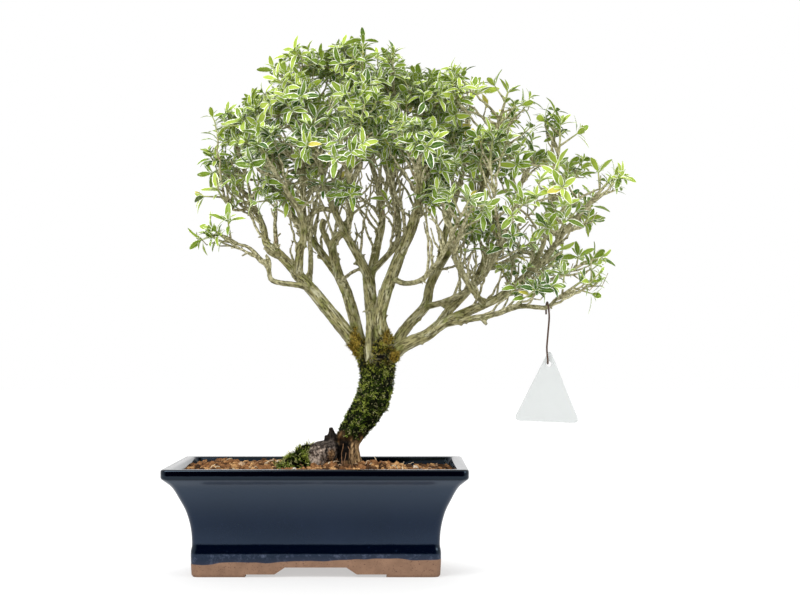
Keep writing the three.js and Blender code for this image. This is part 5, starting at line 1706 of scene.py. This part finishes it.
def make_grains(ground):
    """Clay grains bedded in the soil's surface. Their middles keep out of the wood, the moss and the pot."""
    rng = np.random.default_rng(GRAINS.seed)
    blocks = tree_over(frame["nodes"]["tree_wood"].data, frame["nodes"]["moss_mound"].data)
    shape = Shape()
    reach_x, reach_y = POT.half_x - GRAINS.inside_rim, POT.half_y - GRAINS.inside_rim
    rows = int(2 * reach_y / (GRAINS.spacing * GRAINS.rows))
    forms = [grain_form(rng) for _ in range(GRAINS.forms)]
    for row in range(rows + 1):
        for column in range(int(2 * reach_x / GRAINS.spacing) + 1):
            x = -reach_x + GRAINS.spacing * (column + 0.5 * (row % 2))
            y = -reach_y + 2 * reach_y * row / rows
            x, y = vec(x, y) + rng.normal(0, GRAINS.scatter, 2)
            radius = GRAINS.smallest + GRAINS.spread * rng.random() ** GRAINS.uneven
            room = radius * GRAINS.wall
            if abs(x) > reach_x - room or abs(y) > reach_y - room:
                continue
            height = ground_at(ground, x, y)
            if height is None or height < SOIL.lowest:
                continue
            surface = vec(x, y, height)
            if blocks.find_nearest(Vector(in_frame(surface)), radius * GRAINS.clear_of * MM)[0] is not None:
                continue
            points, faces = forms[rng.integers(len(forms))]
            centre = surface + UP * radius * GRAINS.sunk
            shape.add(points @ rotation(rng).T * radius + centre, faces, tone=rng.random())
    piece("clay_grains", shape.mesh("clay_grains"), [grain_paint()])


def add_rootlets(shape, foot, rng):
    """Fine roots that run down the front of the tree's foot."""
    for _ in range(ROOTLETS.count):
        x = ROOTLETS.left + (ROOTLETS.right - ROOTLETS.left) * rng.random()
        top = rng.uniform(*ROOTLETS.top)
        radius = rng.uniform(*ROOTLETS.radius)
        drift = rng.uniform(-ROOTLETS.drift, ROOTLETS.drift)
        points = []
        for share in np.linspace(0, 1, ROOTLETS.steps):
            height = top + (ROOTLETS.bottom - top) * share
            across = x + drift * share + rng.normal(0, ROOTLETS.wander)
            hit = hit_from(foot, (across, BEFORE_FOOT, height), (0, 1, 0))
            if hit is not None:
                points.append(vec(across, hit[1] - radius * rng.uniform(*ROOTLETS.clear_of), height))
        if len(points) > 3:
            radii = np.linspace(radius, radius * ROOTLETS.end, len(points))
            line, radii = smooth_line(points, radii, ROOTLETS.spacing)
            shape.add(*tube(line, radii, ROOTLETS.sides), tone=rng.random() * ROOTLETS.palest)


def add_dry_roots(shape, ground, rng):
    """Dry bits of root between the grains."""
    for _ in range(DRY_ROOTS.count):
        x, y = rng.uniform(*DRY_ROOTS.across), rng.uniform(*DRY_ROOTS.back)
        base = vec(x, y, ground_at(ground, x, y) + DRY_ROOTS.above)
        turn = rng.random() * 2 * math.pi
        run = vec(math.cos(turn), math.sin(turn), 0) * rng.uniform(*DRY_ROOTS.length)
        middle = base + run * 0.5 + UP * rng.uniform(*DRY_ROOTS.rise)
        end = base + run + UP * rng.uniform(*DRY_ROOTS.end)
        line, radii = smooth_line([base, middle, end], DRY_ROOTS.radii, DRY_ROOTS.spacing)
        shape.add(*tube(line, radii, DRY_ROOTS.sides), tone=rng.uniform(*DRY_ROOTS.tone))


def make_rootlets(ground):
    rng = np.random.default_rng(ROOTLETS.seed)
    shape = Shape()
    add_rootlets(shape, tree_over(frame["nodes"]["tree_wood"].data), rng)
    add_dry_roots(shape, ground, rng)
    piece("rootlets", shape.mesh("rootlets"), [root_paint()])


# Tag
def tag_outline():
    """The tag's three sides with rounded corners, from its upper corner as the origin."""
    outline = []
    corners = [vec(0, 0), vec(-TAG.width / 2, -TAG.height), vec(TAG.width / 2, -TAG.height)]
    for n, tip in enumerate(corners):
        before = tip + unit(corners[(n + 2) % 3] - tip) * TAG.rounding
        after = tip + unit(corners[(n + 1) % 3] - tip) * TAG.rounding
        for t in np.linspace(0, 1, TAG.corner_steps):
            outline.append(before * (1 - t) ** 2 + tip * 2 * t * (1 - t) + after * t * t)
    return outline


def make_tag():
    """A bare plate with rounded corners, a hole and softened edges."""
    angles = np.linspace(0, 2 * math.pi, TAG.hole_sides, endpoint=False)
    hole = [vec(TAG.hole * math.cos(a), TAG.hole * math.sin(a) - TAG.hole_drop) for a in angles]
    curve = bpy.data.curves.new("tag_outline", "CURVE")
    curve.dimensions = "2D"
    curve.fill_mode = "BOTH"
    curve.extrude = (TAG.thick / 2 - TAG.edge) * MM
    curve.bevel_depth = TAG.edge * MM
    curve.bevel_resolution = 2
    curve.offset = -TAG.edge * MM
    for points in (tag_outline(), hole):
        spline = curve.splines.new("POLY")
        spline.points.add(len(points) - 1)
        spline.use_cyclic_u = True
        for target, p in zip(spline.points, points):
            target.co = (p[0] * MM, p[1] * MM, 0, 1)
    data = evaluated(placed("work", curve))
    x, up, thick = (points_of(data) / MM).T
    cos, sin = math.cos(math.radians(-TAG.turn)), math.sin(math.radians(-TAG.turn))
    placed_x, placed_z = x * cos + up * sin, up * cos - x * sin
    move_points(data, np.column_stack([TAG.x + placed_x, TAG.y - thick, TAG.top + placed_z]))
    data.shade_smooth()
    data.set_sharp_from_angle(angle=math.radians(TAG.crease))
    paint = plain_paint("tag_plastic", 0.32, shade(190, 193, 192), shade(196, 199, 198), 4)
    piece("tag_plate", data, [paint], ["tag"])


# Floor, light and camera
def make_stage():
    data = bpy.data.meshes.new("floor")
    corners = [(-FLOOR.side, FLOOR.front, 0), (FLOOR.side, FLOOR.front, 0),
               (FLOOR.side, FLOOR.back, 0), (-FLOOR.side, FLOOR.back, 0)]
    data.from_pydata(in_frame(corners).tolist(), [], [(0, 1, 2, 3)])
    paint = Paint("floor", 0.9, {
        "Specular IOR Level": 0.1, "Base Color": FLOOR.colour, "Emission Color": (1, 1, 1),
    })
    middle = tuple(in_frame(vec(*GLOW_AND_SHADOW.middle)))
    away = paint.node("VectorMath", {0: paint.place, 1: middle}, operation="DISTANCE").outputs["Value"]
    low, high = GLOW_AND_SHADOW.reach
    # Less glow round the pot: a painted shadow
    paint.set("Emission Strength", paint.ramp(away, low * MM, high * MM, *GLOW_AND_SHADOW.strength))
    data.materials.append(paint.material)
    floor = placed("floor", data)


def make_lights():
    """A white sky that lights the object less from the front, and three lamps."""
    bpy.context.scene.world = bpy.data.worlds.new("studio")
    sky = Nodes(bpy.context.scene.world)
    across = sky.axis("Y", sky.coordinates["Generated"])
    lit = sky.ramp(across, *SKY.front, *SKY.strength)
    seen = sky.node("LightPath", {}).outputs["Is Camera Ray"]
    background = sky.nodes["Background"].inputs
    sky.feed(background["Strength"], sky.math("MAXIMUM", seen, lit))
    sky.feed(background["Color"], (1, 1, 1))
    for lamp in LAMPS:
        light = bpy.data.lights.new(lamp.name, "AREA")
        light.shape = "SQUARE"
        light.size = lamp.size * MM
        light.energy = lamp.power
        holder = placed(lamp.name, light)
        holder.visible_glossy = lamp.in_gloss
        holder.location = Vector(in_frame(vec(*lamp.place)))
        heading = Vector(vec(*lamp.aim) - vec(*lamp.place))
        holder.rotation_euler = heading.to_track_quat("-Z", "Y").to_euler()


def make_camera():
    lens = bpy.data.cameras.new("camera")
    lens.lens = CAMERA.lens
    lens.sensor_width = CAMERA.sensor
    lens.clip_start = CAMERA.near
    holder = placed("camera", lens)
    holder.location = Vector(in_frame(vec(*CAMERA.place)))
    holder.rotation_euler = (math.radians(90 + CAMERA.up), 0, 0)
    bpy.context.scene.camera = holder


bpy.context.scene.view_settings.view_transform = "Standard"
make_stage()
make_lights()
make_camera()

LIMBS = [Limb(name, *form) for name, form in WOOD.items()]
SHORT_LIMBS = [Limb(name, *form) for name, form in SHORT_WOOD.items()]
STEMS = lay_crown(LIMBS)
foliage_paints = [leaf_paint(), twig_paint()]
for number, stem in enumerate(STEMS, 1):
    make_spray(f"leafy_stem_{number:02d}", stem, foliage_paints)
make_fill(LIMBS, STEMS, foliage_paints)
bark_points, bark_normals, grown = make_wood(LIMBS + SHORT_LIMBS)
green = moss_paint()
make_trunk_moss(bark_points, bark_normals, grown, green)
make_moss_mound(green)
make_pot()
make_drain_mesh("drain_mesh_left", -DRAIN.x)
make_drain_mesh("drain_mesh_right", DRAIN.x)
copper = plain_paint("anchor_wire", 0.4, shade(120, 92, 66), shade(150, 118, 88), 1, {"Metallic": 0.9})
anchor_points = [(0, -y, z) for y, z in ANCHOR_HALF] + [(0, y, z) for y, z in reversed(ANCHOR_HALF)]
make_wire("anchor_wire_round", "anchor_wire", anchor_points, ANCHOR, copper)
soil_surface = make_soil_bed()
make_grains(soil_surface)
make_rootlets(soil_surface)
make_tag()
rusty = plain_paint("tag_wire", 0.4, shade(62, 44, 34), shade(96, 72, 56), 1, {"Metallic": 0.4})
make_wire("tag_wire_bent", "tag_wire", TAG_WIRE_POINTS, TAG_WIRE, rusty)
